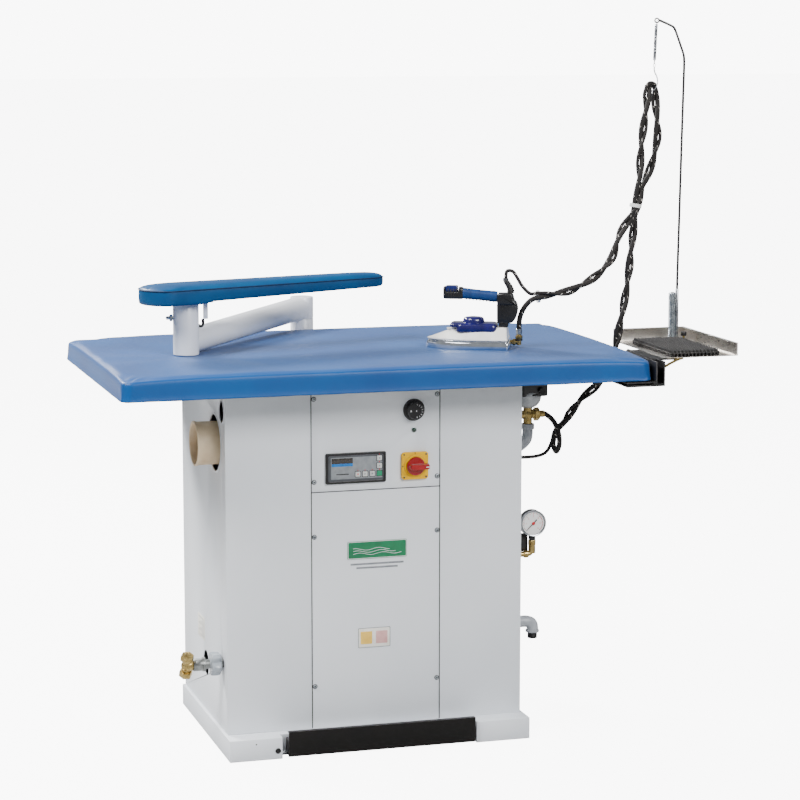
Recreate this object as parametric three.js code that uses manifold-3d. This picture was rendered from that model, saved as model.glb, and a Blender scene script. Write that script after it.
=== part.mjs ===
// Vacuum ironing table with built-in steam generator, hand iron, sleeve arm and hose support.
// Millimetres, +Z up. The origin is on the floor under the middle of the cabinet, +X runs along the
// table to the iron's side and +Y to the back.
import * as THREE from "three";
import { mergeVertices } from "three/addons/utils/BufferGeometryUtils.js";
import Module from "manifold-3d";

const wasm = await Module();
wasm.setup();

// ---- driving dimensions -------------------------------------------------------------------------
const GAP = 0.3; // clearance between pieces that touch
const SHEET = 2; // thickness of the cabinet's panels

const TABLE = { left: -619, right: 631, half: 385, under: 854, top: 910, corner: 26 };
const PAD = 14; // padding and cover over the working surface
const CABINET = { half: 355, depth: 240, foot: 51, top: 854 };
const PLINTH = { half: 362, front: -292, back: 242, height: 51, wall: 3 };
const DOOR = { half: 154, seam: 608 }; // the two front panels between the covers

const PEDAL = { left: -225, right: 225, front: -300, low: 4, high: 64, axisY: -276, axisZ: 12 };
const NOTCH = { left: -238, right: 230, back: -262 };

const CONTROLLER = { x: -49, z: 661.5, width: 144, height: 72, depth: 54 };
const KEY = { side: 11.5, columnX: 7, rowZ: 646.6, pitchX: 17.2, pitchZ: 17.8 };
const SWITCH = { x: 92, z: 660, side: 64 };
const DIAL = { x: 91, z: 790, radius: 26 };
const LAMP = { x: 91, z: 743, radius: 5 };

const DUCT = { y: -132, z: 717, radius: 50, tip: -405 };
const SPARE_HOLE = { y: -207, z: 800, radius: 27 };
const DRAIN = { y: -190, z: 210, hole: 13, pipeEnd: -424, cockX: -440 };
const ACCESS_HOLE = { y: -9, z: 167, radius: 30 };

const FAN = { x: -190, y: -45, low: 667, high: 767, radius: 125 };
const BOILER = { y: 25, z: 330, radius: 112, half: 215 };

const STEAM = { x: 453, y: 0, z: 727 }; // steam valve's tee on the right side
const GAUGE = { x: 427, y: -100, z: 481, radius: 32, pipeY: -112, pipeZ: 405 };
const SUPPLY = { x: 432, y: -100, z: 236 };
const CABLE_OUTLET = { y: -60, z: 634 };

const POST = { x: -7, y: 420, radius: 29, joint: 931, top: 986 };
const FRONT_TUBE = { x: -400, y: -39, low: 911, top: 1031, radius: 30 };
const SLEEVE_TURN = 14.65; // degrees, heading of the sleeve board
const SLEEVE = {
  nose: 112,
  tip: 525,
  wide: 66,
  narrow: 38,
  under: 1032,
  slimAtRoot: 1037,
  slimAtTip: 1045,
  seam: 1067,
  crown: 12,
};

const IRON = { x: 360, y: -134.6, heading: 157, length: 197, half: 49 };
const TRAY = { left: 672, right: 856, front: -342, back: -4, floor: 900, rim: 30, sheet: 1.5 };
const ROD = { x: 815, y: -60, radius: 2.5 };

const HOSE = { radius: 5.75, offset: 5.9 };
const CABLE = { radius: 3.9, offset: 7.9 };
const TWIST_TURNS = 9.8;

// ---- materials ----------------------------------------------------------------------------------
const finish = (color, roughness, metalness = 0) =>
  new THREE.MeshStandardMaterial({ color, roughness, metalness });
const WHITE_PAINT = finish(0xdfe2e4, 0.45);
const GALVANISED = finish(0x9a9d9c, 0.5, 0.9);
const STEEL = finish(0xb9bcbf, 0.35, 1);
const STAINLESS = finish(0xa8a49d, 0.28, 1);
const POLISHED_ALUMINIUM = finish(0xcfd2d4, 0.12, 1);
const CAST_IRON = finish(0x55565a, 0.7, 0.6);
const BRASS = finish(0xb08d4a, 0.35, 1);
const COPPER = finish(0xb0704a, 0.35, 1);
const BLUE_CLOTH = finish(0x0d6cb4, 0.85);
const BEIGE_PLASTIC = finish(0xd8c3a5, 0.5);
const BLACK_PLASTIC = finish(0x1b1a1c, 0.45);
const GREY_PLASTIC = finish(0x8e9296, 0.5);
const KEY_PLASTIC = finish(0xcdcfcd, 0.5);
const CLEAR_PLASTIC = finish(0xb9bfc4, 0.3);
const YELLOW_PLASTIC = finish(0xf5c400, 0.4);
const RED_PLASTIC = finish(0xc8201c, 0.4);
const GREEN_LENS = finish(0x14804a, 0.2);
const BLUE_PLASTIC = finish(0x1d4f94, 0.5);
const PURPLE_PLASTIC = finish(0x2a1f7a, 0.35);
const IVORY_ENAMEL = finish(0xe9e6e0, 0.35);
const BLACK_BRAID = finish(0x201c1b, 0.9);
const BLACK_PAINT = finish(0x17171a, 0.4);
const ZINC = finish(0xa9aeb0, 0.35, 1);

// ---- shaping helpers ----------------------------------------------------------------------------
function solid(geometry) {
  const bare = geometry.index ? geometry.toNonIndexed() : geometry.clone();
  for (const name of Object.keys(bare.attributes))
    if (name !== "position") bare.deleteAttribute(name);
  const merged = mergeVertices(bare, 1e-3);
  return new wasm.Manifold(
    new wasm.Mesh({
      numProp: 3,
      vertProperties: merged.attributes.position.array,
      triVerts: new Uint32Array(merged.index.array),
    }),
  );
}

function surface(body) {
  const mesh = body.getMesh();
  const geometry = new THREE.BufferGeometry();
  geometry.setAttribute("position", new THREE.BufferAttribute(mesh.vertProperties, 3));
  geometry.setIndex(new THREE.BufferAttribute(mesh.triVerts, 1));
  return geometry;
}

const join = (...geometries) => surface(geometries.map(solid).reduce((a, b) => a.add(b)));
const cut = (whole, ...tools) =>
  surface(tools.map(solid).reduce((a, b) => a.subtract(b), solid(whole)));

// A box between two corners.
function block([x0, y0, z0], [x1, y1, z1]) {
  return new THREE.BoxGeometry(x1 - x0, y1 - y0, z1 - z0).translate(
    (x0 + x1) / 2,
    (y0 + y1) / 2,
    (z0 + z1) / 2,
  );
}

// A cylinder or cone whose axis starts at a point and runs along X, Y or Z.
function round(axis, [x, y, z], length, radius, endRadius = radius, sides = 16) {
  const body = new THREE.CylinderGeometry(endRadius, radius, length, sides);
  body.translate(0, length / 2, 0);
  if (axis === "z") body.rotateX(Math.PI / 2);
  if (axis === "x") body.rotateZ(-Math.PI / 2);
  return body.translate(x, y, z);
}

// A turned body about Z: the profile is a list of [radius, height] from axis to axis.
function turned(profile, sides = 16) {
  const outline = profile.map(([radius, height]) => new THREE.Vector2(radius, height));
  return new THREE.LatheGeometry(outline, sides).rotateX(Math.PI / 2);
}

// A flat outline raised between two heights, with an optional rounded upper and lower edge.
function raised(shape, low, high, edge = 0, curveSegments = 4, edgeSegments = 2) {
  const depth = high - low - 2 * edge;
  return new THREE.ExtrudeGeometry(shape, {
    depth,
    curveSegments,
    bevelEnabled: edge > 0,
    bevelThickness: edge,
    bevelSize: edge,
    bevelOffset: -edge,
    bevelSegments: edgeSegments,
  }).translate(0, 0, low + edge);
}

// An outline drawn in the X-Z plane and carried along Y.
function carried(shape, fromY, toY, edge = 0, curveSegments = 3) {
  return raised(shape, -toY, -fromY, edge, curveSegments, 1).rotateX(Math.PI / 2);
}

function roundedRectangle(x0, y0, x1, y1, r) {
  const shape = new THREE.Shape();
  shape.moveTo(x0 + r, y0);
  shape.lineTo(x1 - r, y0).absarc(x1 - r, y0 + r, r, -Math.PI / 2, 0);
  shape.lineTo(x1, y1 - r).absarc(x1 - r, y1 - r, r, 0, Math.PI / 2);
  shape.lineTo(x0 + r, y1).absarc(x0 + r, y1 - r, r, Math.PI / 2, Math.PI);
  shape.lineTo(x0, y0 + r).absarc(x0 + r, y0 + r, r, Math.PI, 1.5 * Math.PI);
  return shape;
}

// A flat outline raised between two heights while it narrows towards a point on its middle line.
function tapered(shape, low, high, [narrowX, narrowY], middleX, bow = 1.8, curveSegments = 6) {
  const body = new THREE.ExtrudeGeometry(shape, {
    depth: high - low,
    steps: 4,
    curveSegments,
    bevelEnabled: false,
  });
  const places = body.attributes.position;
  for (let i = 0; i < places.count; i++) {
    const rise = (places.getZ(i) / (high - low)) ** bow;
    places.setX(i, middleX + (places.getX(i) - middleX) * (1 - (1 - narrowX) * rise));
    places.setY(i, places.getY(i) * (1 - (1 - narrowY) * rise));
  }
  return body.translate(0, 0, low);
}

const outline = (points) => new THREE.Shape(points.map(([x, y]) => new THREE.Vector2(x, y)));
const spot = (points) => points.map(([x, y, z]) => new THREE.Vector3(x, y, z));

// A round bar, pipe or cord along a smooth curve through the points.
function tube(points, radius, steps, sides = 8) {
  const section = new THREE.Shape().absarc(0, 0, radius, 0, 2 * Math.PI);
  return new THREE.ExtrudeGeometry(section, {
    steps,
    curveSegments: sides / 2,
    extrudePath: new THREE.CatmullRomCurve3(spot(points), false, "catmullrom", 0.5),
  });
}

const machine = new THREE.Group();

function piece(name, geometry, material, group = machine) {
  geometry.computeVertexNormals();
  const mesh = new THREE.Mesh(geometry, material);
  mesh.name = name;
  group.add(mesh);
  return mesh;
}

// ---- plinth and pedal ---------------------------------------------------------------------------
function makePlinth() {
  const { half, front, back, height, wall } = PLINTH;
  const outer = block([-half, front, 0], [half, back, height]);
  const roof = height - wall;
  const hollow = block([wall - half, NOTCH.back + wall, wall], [half - wall, back - wall, roof]);
  const leftBay = block([wall - half, front + wall, wall], [NOTCH.left - wall, NOTCH.back + 5, roof]);
  const rightBay = block([NOTCH.right + wall, front + wall, wall], [half - wall, NOTCH.back + 5, roof]);
  const opening = block([-300, -200, wall], [300, 200, height + 1]);
  const notch = block([NOTCH.left, front - 1, -1], [NOTCH.right, NOTCH.back, height + 1]);
  piece("plinth", cut(outer, hollow, leftBay, rightBay, opening, notch), WHITE_PAINT);
}

function makePedal() {
  const { left, right, front, low, high, axisY, axisZ } = PEDAL;
  const face = outline([
    [front, low + 5],
    [front + 5, low],
    [front + 9, low + 2],
    [front + 4, low + 8],
    [front + 4, high - 4],
    [front + 14, high - 2],
    [front + 13, high],
    [front, high],
  ]);
  const plate = raised(face, left, right).rotateZ(Math.PI / 2).rotateY(Math.PI / 2);
  const cheeks = [left, right - 4].map((x) =>
    block([x, front + 2, low + 3], [x + 4, axisY + 8, high - 20]),
  );
  const bore = round("x", [left - 1, axisY, axisZ], right - left + 2, 4.6, 4.6, 16);
  piece("pedal", cut(join(plate, ...cheeks), bore), BLACK_PAINT);
  const shaft = round("x", [NOTCH.left + GAP, axisY, axisZ], NOTCH.right - NOTCH.left - 2 * GAP, 4, 4, 16);
  piece("pedal_shaft", shaft, STEEL);
}

// ---- cabinet ------------------------------------------------------------------------------------
function sideCover(side) {
  const { half, depth, foot, top } = CABINET;
  const seam = DOOR.half + GAP;
  const flange = 24;
  const profile = outline([
    [seam, -depth],
    [half, -depth],
    [half, depth],
    [half - flange, depth],
    [half - flange, depth - SHEET],
    [half - SHEET, depth - SHEET],
    [half - SHEET, SHEET - depth],
    [seam + SHEET, SHEET - depth],
    [seam + SHEET, 16 - depth],
    [seam, 16 - depth],
  ]);
  const cover = raised(profile, foot + GAP, top - GAP);
  return side < 0 ? turnedInsideOut(cover.scale(-1, 1, 1)) : cover;
}

// A mirrored shape has its faces turned round; this turns them back.
function turnedInsideOut(geometry) {
  const corners = geometry.index ? geometry.toNonIndexed() : geometry;
  const values = corners.attributes.position;
  for (let i = 0; i < values.count; i += 3) {
    const [x, y, z] = [values.getX(i), values.getY(i), values.getZ(i)];
    values.setXYZ(i, values.getX(i + 1), values.getY(i + 1), values.getZ(i + 1));
    values.setXYZ(i + 1, x, y, z);
  }
  return corners;
}

function makeCabinet() {
  const { half, depth, foot, top } = CABINET;
  const through = (y, z, radius, sign, sides = 20) =>
    round("x", [sign > 0 ? half - 10 : -half - 10, y, z], 20, radius, radius, sides);
  piece(
    "left_cover",
    cut(
      sideCover(-1),
      through(DUCT.y, DUCT.z, 67, -1),
      through(SPARE_HOLE.y, SPARE_HOLE.z, SPARE_HOLE.radius, -1),
      through(DRAIN.y, DRAIN.z, DRAIN.hole, -1),
      through(ACCESS_HOLE.y, ACCESS_HOLE.z, ACCESS_HOLE.radius, -1),
    ),
    WHITE_PAINT,
  );
  piece(
    "right_cover",
    cut(
      sideCover(1),
      through(STEAM.y, 640, 16, 1, 12),
      through(GAUGE.pipeY, GAUGE.pipeZ, 10, 1, 12),
      through(SUPPLY.y, SUPPLY.z, 14, 1, 12),
      through(CABLE_OUTLET.y, CABLE_OUTLET.z, 9, 1, 12),
    ),
    WHITE_PAINT,
  );
  const slots = Array.from({ length: 6 }, (_, i) =>
    block([-120, depth - 5, 160 + 24 * i], [120, depth + 5, 166 + 24 * i]),
  );
  const back = half - 24 - GAP;
  piece(
    "rear_cover",
    cut(block([-back, depth - SHEET, foot + GAP], [back, depth, top - GAP]), ...slots),
    WHITE_PAINT,
  );
  const panel = (low, high) =>
    block([-DOOR.half, -depth, low], [DOOR.half, SHEET - depth, high]);
  piece(
    "control_panel",
    cut(
      panel(DOOR.seam + GAP, top - GAP),
      block(
        [CONTROLLER.x - 68.5, -depth - 5, CONTROLLER.z - 33.5],
        [CONTROLLER.x + 68.5, -depth + 5, CONTROLLER.z + 33.5],
      ),
      round("y", [SWITCH.x, -depth - 5, SWITCH.z], 10, 18, 18, 16),
      round("y", [DIAL.x, -depth - 5, DIAL.z], 10, 4.5, 4.5, 10),
      round("y", [LAMP.x, -depth - 5, LAMP.z], 10, 4.2, 4.2, 10),
    ),
    WHITE_PAINT,
  );
  piece("service_panel", panel(foot + GAP, DOOR.seam - GAP), WHITE_PAINT);
}

// The welded frame that the panels are screwed to, with a shelf for the boiler and one for the fan.
function makeChassis() {
  const bar = 22;
  const [x, y] = [CABINET.half - 30, CABINET.depth - 20];
  const [low, high] = [CABINET.foot + GAP, CABINET.top - GAP];
  const posts = [-x, x - bar].flatMap((px) =>
    [-y, y - bar].map((py) => block([px, py, low], [px + bar, py + bar, high])),
  );
  const rails = [low, high - 4].flatMap((z) => [
    ...[-y, y - bar].map((py) => block([-x, py, z], [x, py + bar, z + 4])),
    ...[-x, x - bar].map((px) => block([px, -y, z], [px + bar, y, z + 4])),
  ]);
  const shelf = block([-x, -90, 208], [x, 140, 212]);
  const fanShelf = block([-x, -30, 522], [x, 30, 526]);
  const ties = [-x, x - bar].flatMap((px) =>
    [208, 522].map((z) => block([px, -y, z - 8], [px + bar, y, z + 4])),
  );
  piece("chassis_frame", join(...posts, ...rails, shelf, fanShelf, ...ties), GALVANISED);
}

// ---- padded table -------------------------------------------------------------------------------
function makeTable() {
  const { left, right, half, under, top, corner } = TABLE;
  const skin = roundedRectangle(left, -half, right, half, corner);
  const pocketTop = top - PAD;
  const pocket = block([left + PAD, PAD - half, under - 1], [right - PAD, half - PAD, pocketTop]);
  piece("board_cover", cut(raised(skin, under + GAP, top, 7, 5), pocket), BLUE_CLOTH);
  const inner = PAD + GAP;
  const [x0, x1, y] = [left + inner, right - inner, half - inner];
  const tray = block([x0, -y, under + GAP], [x1, y, pocketTop - 2 * GAP - 3]);
  const well = block([x0 + 3, 3 - y, under + 4], [x1 - 3, y - 3, pocketTop + 5]);
  const suction = round("z", [FAN.x, FAN.y, under - 5], 20, 46, 46, 20);
  piece("vacuum_tray", cut(tray, well, suction), GALVANISED);
  const holes = [];
  for (let i = 0; i < 5; i++)
    for (let j = 0; j < 3; j++) {
      const [x, yy] = [x0 + 110 + 215 * i, -200 + 200 * j];
      holes.push(block([x, yy, pocketTop - 10], [x + 120, yy + 10, pocketTop + 5]));
    }
  piece(
    "perforated_plate",
    cut(block([x0, -y, pocketTop - GAP - 3], [x1, y, pocketTop - GAP]), ...holes),
    STEEL,
  );
}

// ---- suction fan --------------------------------------------------------------------------------
function makeFan() {
  const { x, y, low, high, radius } = FAN;
  const drum = round("z", [x, y, low], high - low, radius, radius, 20);
  const outlet = round("x", [-330, DUCT.y, DUCT.z], 140, 44, 44, 20);
  const inside = round("z", [x, y, low + 3], high - low - 6, radius - 3, radius - 3, 20);
  const outletBore = round("x", [-331, DUCT.y, DUCT.z], 140, 41, 41, 20);
  const shaftHole = round("z", [x, y, low - 5], 20, 9, 9, 12);
  const neck = round("z", [x, y, high - 3], TABLE.under - high + 3 - GAP, 50, 50, 20);
  const neckBore = round("z", [x, y, high - 5], TABLE.under - high + 10, 46, 46, 20);
  piece("fan_housing", cut(join(drum, outlet, neck), inside, outletBore, neckBore, shaftHole), GALVANISED);
  const blades = Array.from({ length: 8 }, (_, i) =>
    block([45, -1.5, 24], [96, 1.5, 62]).rotateZ((i * Math.PI) / 4),
  );
  const wheel = turned([[0, 20], [98, 20], [98, 25], [16, 25], [16, 50], [0, 50]], 24);
  const axle = round("z", [0, 0, -40], 70, 7, 7, 12);
  const impeller = piece("fan_impeller", join(wheel, axle, ...blades), GALVANISED);
  impeller.position.set(x, y, low);
  const stator = round("z", [x, y, 530], low - GAP - 530, 58, 58, 20);
  const bearing = round("z", [x, y, low - 44], 60, 8, 8, 12);
  piece("fan_motor", cut(stator, bearing), CAST_IRON);
  const exhaust = round("x", [DUCT.tip, DUCT.y, DUCT.z], -330 - GAP - DUCT.tip, 50, 50, 28);
  const exhaustBore = round("x", [DUCT.tip - 5, DUCT.y, DUCT.z], 90, 46, 46, 28);
  piece("exhaust_duct", cut(exhaust, exhaustBore), BEIGE_PLASTIC);
}

// ---- boiler and its feed ------------------------------------------------------------------------
function makeBoiler() {
  const { y, z, radius, half } = BOILER;
  // Half of a vessel's outline, from one end's middle to the other's.
  const vessel = (long, wide, shoulder, knuckle) =>
    turned(
      [
        [0, -long],
        [wide - 20, -long + shoulder],
        [wide, -long + knuckle],
        [wide, long - knuckle],
        [wide - 20, long - shoulder],
        [0, long],
      ],
      18,
    );
  const shell = vessel(half, radius, 14, 44);
  const hollow = vessel(half - 5, radius - 5, 13, 41);
  const mouth = round("z", [0, 0, -half - 10], 40, 34, 34, 20);
  const body = cut(shell, hollow, mouth).rotateY(Math.PI / 2).translate(0, y, z);
  const safetyValve = turned(
    [
      [0, -6],
      [13, -6],
      [13, 16],
      [9, 18],
      [9, 46],
      [4, 48],
      [4, 60],
      [0, 60],
    ],
    14,
  );
  const feet = [-140, 120].map((x) =>
    block([x, y - 50, 212 + GAP], [x + 20, y + 50, z - radius + 14]),
  );
  piece("boiler_vessel", join(body, safetyValve.translate(110, y, z + radius), ...feet), CAST_IRON);
  const flange = round("x", [-half - 12, y, z], 12 - GAP, 52, 52, 20);
  const plug = round("x", [-half - 2, y, z], 32, 33, 33, 20);
  const hairpin = tube(
    [
      [-195, y, z + 16],
      [0, y, z + 16],
      [150, y, z + 14],
      [168, y, z],
      [150, y, z - 14],
      [0, y, z - 16],
      [-195, y, z - 16],
    ],
    5,
    24,
  );
  piece("heating_element", join(flange, plug, hairpin), COPPER);
}

// ---- electrical box and the front controls ------------------------------------------------------
function makeControls() {
  const front = -CABINET.depth;
  const { x, z, width, height, depth } = CONTROLLER;
  const bezel = block(
    [x - width / 2, front - 6, z - height / 2],
    [x + width / 2, front - GAP, z + height / 2],
  );
  const body = block([x - 68, front - 3, z - 33], [x + 68, front + depth, z + 33]);
  const well = KEY.side / 2 + 0.5;
  const wells = keyPlaces().map(([kx, kz]) =>
    block([kx - well, front - 10, kz - well], [kx + well, front - 3.2, kz + well]),
  );
  const face = block([x - 66, front - 10, z - 30], [x + 66, front - 5, z + 30]);
  piece("controller_case", cut(join(bezel, body), face, ...wells), BLACK_PLASTIC);
  const half = KEY.side / 2;
  keyPlaces().forEach(([kx, kz], i) => {
    const square = roundedRectangle(kx - half, kz - half, kx + half, kz + half, 1.5);
    const cap = raised(square, 0, 2.2, 0, 2);
    piece(`key_${i + 1}`, cap.rotateX(Math.PI / 2).translate(0, front - 4, 0), KEY_PLASTIC);
  });

  const plateHalf = SWITCH.side / 2;
  const plateEdge = roundedRectangle(
    SWITCH.x - plateHalf,
    SWITCH.z - plateHalf,
    SWITCH.x + plateHalf,
    SWITCH.z + plateHalf,
    3,
  );
  const plate = carried(plateEdge, front - 8, front - GAP, 1, 3);
  const boss = round("y", [SWITCH.x, front - 11, SWITCH.z], 5, 25, 25, 24);
  const switchBody = round("y", [SWITCH.x, front - 2, SWITCH.z], 40, 17, 17, 16);
  piece("switch_plate", join(plate, boss, switchBody), YELLOW_PLASTIC);
  const grip = carried(roundedRectangle(-21, -6.5, 21, 6.5, 4), -17, 0, 1.5, 2);
  const disc = round("y", [0, 0, 0], 6, 19, 19, 18);
  const handle = piece("switch_handle", join(grip.translate(0, 0.5, 0), disc), RED_PLASTIC);
  handle.position.set(SWITCH.x, front - 17.4, SWITCH.z);

  const skirt = round("y", [0, -8, 0], 8 - GAP, DIAL.radius, DIAL.radius, 28);
  const crown = round("y", [0, -22, 0], 16, 17, 19, 20);
  const stem = round("y", [0, -2, 0], 22, 3.8, 3.8, 10);
  const dial = piece("thermostat_knob", join(skirt, crown, stem), BLACK_PLASTIC);
  dial.position.set(DIAL.x, front, DIAL.z);

  const ball = new THREE.SphereGeometry(LAMP.radius, 12, 8);
  const lens = cut(ball, block([-9, -1, -9], [9, 9, 9]));
  const barrel = round("y", [0, -2, 0], 22, 3.9, 3.9, 10);
  const collar = round("y", [0, -1.6, 0], 1.6 - GAP, 6.4, 6.4, 12);
  piece("pilot_lamp", join(lens, barrel, collar).translate(LAMP.x, front, LAMP.z), GREEN_LENS);
}

// The six keys: a column of three at the right and a row of three beside its lowest one.
function keyPlaces() {
  const column = [2, 1, 0].map((i) => [KEY.columnX, KEY.rowZ + i * KEY.pitchZ]);
  const row = [3, 2, 1].map((i) => [KEY.columnX - i * KEY.pitchX, KEY.rowZ]);
  return [...column, ...row];
}

// ---- fittings on the left side ------------------------------------------------------------------
function makeDrain() {
  const { y, z, pipeEnd, cockX } = DRAIN;
  const nipple = round("x", [pipeEnd, y, z], -330 - pipeEnd, 10.5);
  const barrel = round("x", [pipeEnd, y, z], 22, 14.5);
  const collar = round("x", [pipeEnd + 21, y, z], 7, 16.5);
  piece("drain_pipe", join(nipple, barrel, collar), GALVANISED);

  const cross = round("z", [0, 0, -28], 56, 10);
  const nuts = [-30, 16].map((low) => round("z", [0, 0, low], 14, 14, 14, 6));
  const boss = round("x", [0, 0, 0], pipeEnd - cockX - GAP, 13);
  const bore = round("z", [0, 0, -45], 90, 6.5, 6.5, 12);
  const cock = piece("drain_cock", cut(join(cross, ...nuts, boss), bore), BRASS);
  cock.rotation.x = 0.45;
  cock.position.set(cockX, y, z);

  const hub = round("x", [-386, 0, 0], 28, 21);
  const lobes = Array.from({ length: 5 }, (_, i) =>
    round("x", [-384, 0, 20], 24, 10.5, 10.5, 12).rotateX((i * 2 * Math.PI) / 5),
  );
  const eye = round("x", [-390, 0, 0], 40, 11.2);
  const knob = piece("drain_knob", cut(join(hub, ...lobes), eye), CLEAR_PLASTIC);
  knob.position.set(0, y, z);
}

// ---- fittings on the right side -----------------------------------------------------------------
function makeSteamOutlet() {
  const { x, y, z } = STEAM;
  const run = round("x", [x - 30, y, z], 58, 10.5, 10.5, 16);
  const leg = round("z", [x, y, z - 22], 40, 11, 11, 16);
  const nut = round("x", [x + 16, y, z], 12, 15, 15, 6);
  const spigot = round("x", [x + 24, y, z], 10, 6.5, 6.5, 12);

  const seat = turned([
    [0, 0],
    [13, 0],
    [22, 8],
    [29, 14],
    [30, 20],
    [27, 25],
    [16, 26],
    [16, 30],
    [0, 30],
  ]);
  piece("valve_body", join(run, leg, nut, spigot, seat.translate(x, y, z + 17)), BRASS);
  const coilLow = z + 47 + GAP;
  const coil = raised(roundedRectangle(x - 24, y - 30, x + 42, y + 30, 5), coilLow, coilLow + 58, 2, 3);
  const lead = round("y", [x + 24, y - 40, coilLow + 14], 16, 8, 8, 12);
  piece("valve_coil", join(coil, lead), BLACK_PLASTIC);

  const wall = CABINET.half;
  piece(
    "condensate_pipe",
    join(
      tube(
        [
          [x, y, z - 30],
          [x, y, 680],
          [x - 4, y, 664],
          [x - 22, y, 649],
          [x - 50, y, 641],
          [wall - 22, y, 640],
        ],
        13,
        16,
        12,
      ),
      round("z", [x, y, z - 36], 36 - 22 - GAP, 16.5, 16.5, 16),
    ),
    GREY_PLASTIC,
  );
  piece(
    "cable_gland",
    join(
      round("x", [wall - 12, CABLE_OUTLET.y, CABLE_OUTLET.z], 36, 6.5, 6.5, 12),
      round("x", [wall + GAP, CABLE_OUTLET.y, CABLE_OUTLET.z], 9, 12, 12, 6),
      round("x", [wall + 8, CABLE_OUTLET.y, CABLE_OUTLET.z], 14, 9.5, 8, 12),
    ),
    BLACK_PLASTIC,
  );
}

function makeGauge() {
  const { x, y, z, radius } = GAUGE;
  const body = turned(
    [
      [0, 0],
      [radius - 1, 0],
      [radius, 2],
      [radius, 24],
      [radius - 4, 24],
      [radius - 4, 21],
      [0, 21],
    ],
    32,
  );
  const neck = block([-7, -7, 6], [7, 7, 18]).translate(0, -radius - 2, 0);
  const gauge = piece("gauge_case", join(body, neck), BLACK_PLASTIC);
  gauge.rotation.x = Math.PI / 2;
  gauge.position.set(x, y, z);
  const blade = outline([
    [-1.6, -8],
    [1.6, -8],
    [0.6, 22],
    [-0.6, 22],
  ]);
  const needle = join(raised(blade, 0, 0.8), round("z", [0, 0, -1.3], 2.4, 3, 3, 12));
  const pointer = piece("gauge_needle", needle, RED_PLASTIC);
  pointer.rotation.set(Math.PI / 2, -0.8 * Math.PI, 0, "YXZ");
  pointer.position.set(x, y - 22.6, z);
  const wall = CABINET.half;
  const { pipeY, pipeZ } = GAUGE;
  const legTop = z - radius - 9 - GAP;
  piece(
    "gauge_elbow",
    join(
      round("x", [wall - 20, pipeY, pipeZ], x + 3 - wall + 20, 6.5, 6.5, 12),
      round("z", [x, pipeY, pipeZ - 7], legTop - pipeZ + 7, 7.5, 7.5, 12),
      round("z", [x, pipeY, legTop - 13], 12, 10, 10, 6),
      round("x", [wall + GAP, pipeY, pipeZ], 12, 11, 11, 6),
    ),
    BRASS,
  );
}

function makeSupply() {
  const { x, y, z } = SUPPLY;
  const wall = CABINET.half;
  piece(
    "supply_elbow",
    join(
      round("x", [wall - 20, y, z], x - wall, 10.5, 10.5, 14),
      round("x", [wall + 4, y, z], 24, 14, 14, 14),
      tube(
        [
          [wall + 20, y, z],
          [x - 14, y, z],
          [x - 2, y, z - 3],
          [x + 2, y, z - 14],
          [x + 2, y, z - 26],
        ],
        14.5,
        12,
        12,
      ),
      round("z", [x + 2, y, z - 42], 20, 12, 12, 14),
    ),
    GALVANISED,
  );
}

// ---- sleeve arm ---------------------------------------------------------------------------------
function makeSleeveArm() {
  const { x, y, radius, joint, top } = POST;
  const post = round("z", [x, y, 806], joint - GAP - 806, radius, radius, 20);
  const spigot = round("z", [x, y, joint - 5], top - joint - 8, 20, 20, 20);
  const bracket = block([x - 45, CABINET.depth + GAP, 814], [x + 45, y, TABLE.under - GAP]);
  const foot = block([x - 60, CABINET.depth + GAP, 760], [x + 60, CABINET.depth + 6, TABLE.under - GAP]);
  piece("sleeve_post", join(post, spigot, bracket, foot), WHITE_PAINT);

  const front = FRONT_TUBE;
  const hub = round("z", [x, y, joint], top - joint, radius, radius, 20);
  const bore = round("z", [x, y, joint - 5], top - joint - 2, 20.6, 20.6, 20);
  const beamLine = [
    [x, y, 958],
    [(x + front.x) / 2, (y + front.y) / 2, 949],
    [front.x, front.y, 940],
  ];
  const beam = tube(beamLine, 29.5, 1, 16);
  const headPlace = [front.x, front.y, front.low];
  const head = round("z", headPlace, front.top - front.low, front.radius, front.radius, 20);
  const socket = round("z", [front.x, front.y, front.top - 60], 80, 16.6, 16.6, 20);
  const relief = round("z", [x, y, joint - 40], 40, 45, 45, 20);
  piece("sleeve_arm", cut(join(hub, beam, head), bore, socket, relief), WHITE_PAINT);

  const board = new THREE.Group();
  board.position.set(front.x, front.y, 0);
  board.rotation.z = (SLEEVE_TURN * Math.PI) / 180;
  machine.add(board);
  const { nose, tip, wide, narrow, under, slimAtRoot, slimAtTip, seam, crown } = SLEEVE;
  const plateLow = slimAtTip + 2;
  const edge = new THREE.Shape();
  edge.moveTo(-nose + wide * 0.85, -wide);
  edge.lineTo(tip - narrow, -narrow);
  edge.absarc(tip - narrow, 0, narrow, -Math.PI / 2, Math.PI / 2);
  edge.lineTo(-nose + wide * 0.85, wide);
  edge.absellipse(-nose + wide * 0.85, 0, wide * 0.85, wide, Math.PI / 2, 1.5 * Math.PI);
  const core = (slack) =>
    outline([
      [-84 - slack, -44 - slack],
      [470 + slack, -26 - slack],
      [470 + slack, 26 + slack],
      [-84 - slack, 44 + slack],
    ]);
  const plate = raised(core(0), plateLow, plateLow + 4);
  const spindle = round("z", [0, 0, front.top - 58], plateLow - front.top + 60, 16, 16, 20);
  const tab = block([38, -16, 993], [50, -12, plateLow + 2]);
  piece("sleeve_board_frame", join(plate, spindle, tab), WHITE_PAINT, board);
  const skin = raised(edge, under, seam + crown, crown, 7, 3);
  const pocket = raised(core(1), under - 1, plateLow + 4 + GAP);
  const wedge = outline([
    [30, under - 2],
    [600, under - 2],
    [600, slimAtTip + 1],
    [30, slimAtRoot],
  ]);
  const slope = carried(wedge, -90, 90);
  piece("sleeve_board_cover", cut(skin, pocket, slope), BLUE_CLOTH, board);
}

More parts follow.
